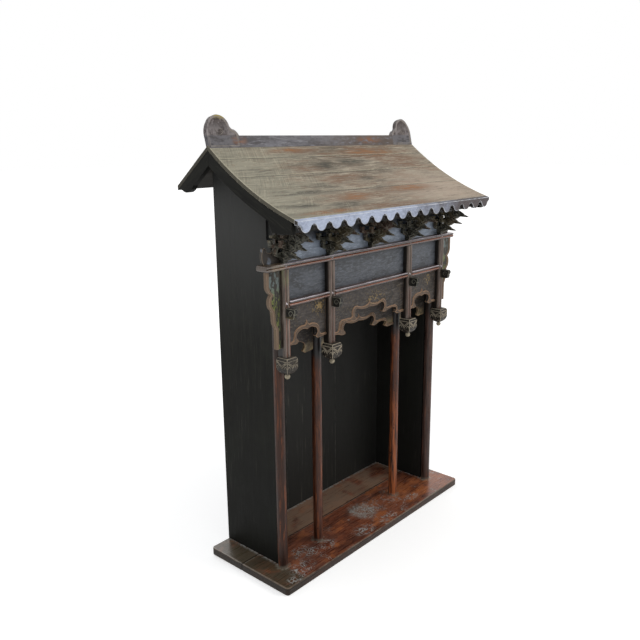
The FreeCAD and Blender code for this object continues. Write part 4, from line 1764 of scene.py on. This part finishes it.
@dataclass
class Studio:
    """Floor, lamps, white surroundings and the camera."""

    eye: Point = (-1.60296, -1.33841, 1.18121)
    yaw: float = 0.839262
    pitch: float = 0.246618
    roll: float = -0.00977169
    focal: float = 713.15 / 640 * 36
    sky: float = 0.55

    def surroundings(self) -> None:
        """White to the eye and in reflections, dimmer as a light."""
        world = bpy.data.worlds.new("surroundings")
        world.use_nodes = True
        bpy.context.scene.world = world
        w = Wiring(world.node_tree)
        ray = w.add("ShaderNodeLightPath").outputs
        seen = w.most(ray["Is Camera Ray"], ray["Is Glossy Ray"], ray["Is Transmission Ray"])
        strength = w.plus(self.sky, w.times(seen, 1.0 - self.sky))
        sky = w.add("ShaderNodeBackground", {"Color": (1.0, 1.0, 1.0, 1.0), "Strength": strength})
        w.add("ShaderNodeOutputWorld", {"Surface": sky.outputs[0]})

    def floor(self) -> None:
        """Pale floor that stays white to the eye and keeps the shadow."""
        under = (0.0, 0.0, -0.0004)
        floor = Bench.start(bpy.ops.mesh.primitive_plane_add, size=60.0, location=under)
        floor.name = "floor"
        material = bpy.data.materials.new("floor_paint")
        material.use_nodes = True
        w = Wiring(material.node_tree)
        ray = w.add("ShaderNodeLightPath").outputs
        seen = w.most(ray["Is Camera Ray"], ray["Is Glossy Ray"])
        away = w.length(w.add("ShaderNodeTexCoord").outputs["Object"])
        matt = w.add("ShaderNodeBsdfDiffuse", {"Color": (0.88, 0.88, 0.88, 1.0)})
        glow = w.times(seen, w.between(away, 0.4, 4.0, 0.38, 0.72))
        lift = w.add("ShaderNodeEmission", {"Color": (1.0, 1.0, 1.0, 1.0), "Strength": glow})
        both = w.add("ShaderNodeAddShader", {0: matt.outputs[0], 1: lift.outputs[0]})
        w.add("ShaderNodeOutputMaterial", {"Surface": both.outputs[0]})
        floor.data.materials.append(material)

    def lamp(self, name: str, place: Point, size: float, power: float, colour: Point) -> None:
        """Add a large soft lamp that faces the middle of the shrine.

        Args:
            name: Name of the lamp.
            place: Where it stands.
            size: Width and height.
            power: Strength in watts.
            colour: Its colour.
        """
        data = bpy.data.lights.new(name, "AREA")
        data.size, data.energy, data.color = size, power, colour
        lamp = bpy.data.objects.new(name, data)
        bpy.context.scene.collection.objects.link(lamp)
        lamp.location = place
        aim = Vector((0.0, 0.0, 0.65)) - Vector(place)
        lamp.rotation_euler = aim.to_track_quat("-Z", "Y").to_euler()

    def camera(self) -> None:
        """Stand the camera where the picture was taken."""
        data = bpy.data.cameras.new("camera")
        data.lens, data.sensor_width = self.focal, 36.0
        data.clip_end = 100.0
        camera = bpy.data.objects.new("camera", data)
        bpy.context.scene.collection.objects.link(camera)
        bpy.context.scene.camera = camera
        level = math.cos(self.pitch)
        ahead = Vector((math.sin(self.yaw) * level, math.cos(self.yaw) * level, -math.sin(self.pitch)))
        right = Vector((math.cos(self.yaw), -math.sin(self.yaw), 0.0))
        above = right.cross(ahead)
        side = right * math.cos(self.roll) + above * math.sin(self.roll)
        up = above * math.cos(self.roll) - right * math.sin(self.roll)
        turn = Matrix((side, up, -ahead)).transposed()
        camera.matrix_world = Matrix.Translation(self.eye) @ turn.to_4x4()

    def build(self) -> None:
        """Set the stage."""
        bpy.context.scene.view_settings.view_transform = "Standard"
        self.surroundings()
        self.floor()
        self.lamp("key_lamp", (1.6, -2.6, 2.3), 1.8, 46.0, (1.0, 0.97, 0.93))
        self.lamp("side_lamp", (-2.4, -1.0, 2.7), 1.8, 26.0, (0.93, 0.97, 1.0))
        self.lamp("back_lamp", (0.6, 2.6, 2.4), 1.8, 22.0, (1.0, 1.0, 1.0))
        self.camera()


def make_finishes() -> dict[str, Material]:
    """Build every finish.

    Returns:
        The materials under short names.
    """
    effects = Effects()
    soot = dict(
        deep=(13, 13, 11), base=(23, 23, 20), light=(38, 38, 34), rubbed=(60, 57, 50), specular=0.085
    )
    feet = tuple(
        (x, y, 0.0235) for x, y in ((-0.355, -0.0703), (-0.187, -0.052), (0.187, -0.052), (0.355, -0.0703))
    )
    drips = (
        ((0.030, -0.048, 0.023), (0.058, 0.060, 0.02)),
        ((-0.055, -0.124, 0.023), (0.050, 0.032, 0.02)),
        ((-0.210, -0.090, 0.023), (0.062, 0.034, 0.02)),
        ((-0.325, -0.118, 0.023), (0.054, 0.034, 0.02)),
        ((-0.375, -0.140, 0.023), (0.044, 0.020, 0.02)),
        ((0.060, -0.130, 0.023), (0.060, 0.020, 0.02)),
        ((0.210, -0.112, 0.023), (0.040, 0.022, 0.02)),
    )
    brown = (
        ((-0.08, -0.052, 1.083), (0.13, 0.020, 0.05)),
        ((-0.13, -0.140, 1.037), (0.12, 0.036, 0.05)),
        ((0.30, 0.010, 1.118), (0.14, 0.055, 0.08)),
        ((-0.15, 0.056, 1.153), (0.14, 0.014, 0.06)),
        ((0.16, 0.042, 1.142), (0.20, 0.030, 0.09)),
        ((0.14, -0.125, 1.045), (0.20, 0.030, 0.05)),
        ((-0.28, -0.196, 1.015), (0.16, 0.018, 0.05)),
        ((-0.05, -0.200, 1.013), (0.24, 0.020, 0.05)),
    )
    rust = (
        ((0.16, 0.044, 1.143), (0.20, 0.022, 0.09)),
        ((-0.17, 0.060, 1.156), (0.10, 0.011, 0.09)),
        ((-0.12, -0.140, 1.037), (0.085, 0.026, 0.07)),
        ((0.15, -0.120, 1.048), (0.13, 0.024, 0.07)),
        ((-0.29, -0.200, 1.013), (0.15, 0.014, 0.07)),
    )
    smoke = (
        ((-0.08, 0.000, 1.113), (0.085, 0.036, 0.06)),
        ((0.04, 0.012, 1.121), (0.11, 0.020, 0.05)),
        ((0.03, -0.060, 1.078), (0.06, 0.014, 0.05)),
        ((-0.34, -0.160, 1.028), (0.10, 0.016, 0.05)),
        ((-0.19, -0.170, 1.022), (0.14, 0.022, 0.05)),
        ((-0.26, -0.104, 1.053), (0.08, 0.014, 0.05)),
    )
    gold = (
        ((-0.219, -0.096, 0.751), (0.045, 0.05, 0.035)),
        ((0.03, -0.096, 0.735), (0.06, 0.05, 0.03)),
        ((0.30, -0.096, 0.75), (0.035, 0.05, 0.03)),
    )
    roof = RoofFinish(
        "weathered_roof", (100, 90, 78), (147, 137, 121), (181, 171, 154), (192, 184, 164), wear=0.6,
        rough=(0.6, 0.8), specular=0.2, dust_amount=0.0, brown_places=brown, rust_places=rust,
        smoke_places=smoke,
    )
    finishes = {
        "base": PlinthFinish(
            "base_lacquer", (72, 38, 28), (120, 66, 45), (150, 92, 64), (112, 98, 84), rough=(0.22, 0.42),
            specular=0.16, coat=0.7, wear=0.55, feet=feet, drips=drips, dust_amount=0.12,
        ),
        "wall": StainFinish("dark_stain_upright", grain=Grain.UPRIGHT, wear=0.3, **soot),
        "back": StainFinish(
            "dark_stain_inside", (24, 24, 25), (37, 37, 37), (56, 56, 56), (76, 76, 72),
            grain=Grain.UPRIGHT, specular=0.14, scratches=0.5, top_light=(36, 36, 36),
        ),
        "beam": StainFinish("dark_stain_across", wear=0.3, **soot),
        "barge_front": WoodFinish(
            "dark_stain_front_slope", grain=Grain.DEEP, tilt=-28.0, wear=0.45, **soot
        ),
        "barge_rear": WoodFinish("dark_stain_rear_slope", grain=Grain.DEEP, tilt=38.0, wear=0.45, **soot),
        "roof": roof,
        # The rear slope gets a darker painted shade on its underside.
        "roof_rear": replace(
            roof, name="weathered_roof_rear", rubbed=(84, 78, 67), end=(46, 44, 40), under=(32, 29, 26)
        ),
        "eave": EaveFinish(
            "eave_paint", (134, 142, 162), (164, 174, 196), (182, 190, 210), (206, 210, 216), run=5.0,
            wear=0.55, dust_amount=0.0,
        ),
        "ridge": RidgeFinish(
            "ridge_paint", (68, 65, 68), (113, 113, 119), (130, 129, 134), (124, 116, 106), run=2.0,
            wear=0.45,
        ),
        "crest": CrestFinish(
            "crest_carving", (34, 27, 26), (62, 52, 50), (94, 86, 84), (138, 130, 122), run=4.0, wear=0.55,
            relief=0.5,
        ),
        "rail": RailFinish(
            "rail_brown", (38, 24, 20), (80, 56, 48), (104, 78, 68), (146, 122, 110), wear=0.35,
            rough=(0.22, 0.4), specular=0.5, coat=0.3, dust_amount=0.05,
        ),
        "post": PostFinish(
            "post_brown", (60, 50, 44), (103, 91, 83), (126, 115, 106), (142, 120, 100),
            grain=Grain.UPRIGHT, wear=0.35, rough=(0.34, 0.54), specular=0.3, coat=0.1,
        ),
        "panel": PanelFinish(
            "panel_blue_grey", (44, 46, 49), (75, 79, 86), (94, 98, 106), (120, 120, 120), run=4.0,
            rough=(0.4, 0.6), specular=0.35,
        ),
        "cove": CoveFinish(
            "cove_grey_blue", (112, 120, 132), (144, 155, 172), (166, 178, 194), (118, 104, 88), run=4.0,
            rough=(0.4, 0.6), specular=0.35, wear=0.7,
        ),
        "apron": ApronFinish(
            "apron_carved", (31, 27, 25), (60, 55, 53), (86, 81, 78), (142, 114, 90), wear=0.85, run=4.0,
            gold_places=gold,
        ),
        "wing": WingFinish(
            "wing_paint", (22, 20, 18), (54, 51, 46), (84, 80, 70), (132, 112, 94), grain=Grain.UPRIGHT,
            wear=0.6,
        ),
        "pendant": WoodFinish(
            "pendant_carved", (22, 19, 16), (44, 39, 34), (68, 62, 54), (156, 146, 128),
            grain=Grain.UPRIGHT, run=3.0, wear=0.62,
        ),
        "bracket": CarvingFinish(
            "bracket_carved", (20, 20, 17), (50, 49, 42), (88, 86, 76), (140, 134, 118), grain=Grain.DEEP,
            run=2.0, wear=0.62, cover=0.42,
        ),
        "beam_end": CarvingFinish(
            "beam_end_carved", (13, 12, 11), (27, 26, 24), (44, 43, 39), (112, 110, 98),
            grain=Grain.UPRIGHT, run=2.0, wear=0.60, cover=0.2,
        ),
        "inner_column": ColumnFinish(
            "column_lacquer_short", (38, 20, 14), (78, 42, 27), (104, 61, 39), (110, 86, 70),
            grain=Grain.UPRIGHT, rough=(0.3, 0.5), specular=0.26, coat=0.05,
        ),
        "outer_column": ColumnFinish(
            "column_lacquer_long", (34, 20, 15), (64, 38, 27), (84, 52, 37), (104, 80, 62),
            grain=Grain.UPRIGHT, rough=(0.3, 0.5), specular=0.22, coat=0.03, cool=(42, 34, 30),
            cool_from=0.64,
        ),
        "gilt": WoodFinish(
            "worn_gilding", (70, 54, 34), (122, 100, 58), (150, 126, 76), (172, 150, 100), wear=0.6,
            rough=(0.3, 0.5), specular=0.5,
        ),
        "bone": WoodFinish(
            "pale_worn_wood", (96, 86, 70), (150, 140, 120), (176, 166, 144), (192, 184, 164), run=3.0,
            wear=0.6,
        ),
    }
    return {key: finish.material(effects) for key, finish in finishes.items()}


def main() -> None:
    """Build the stage and every sub-assembly."""
    logging.basicConfig(level=logging.INFO, format="%(message)s")
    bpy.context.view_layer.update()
    Studio().build()
    finishes = make_finishes()
    for assembly in (Plinth, Box, Columns, Frieze, Pendants, Roof, Ridge, Brackets):
        before = len(Bench.pieces)
        assembly(finishes).build()
        for piece in Bench.pieces[before:]:
            log.info("%s: %s", assembly.__name__, piece)
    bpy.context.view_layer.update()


if __name__ == "__main__":
    main()
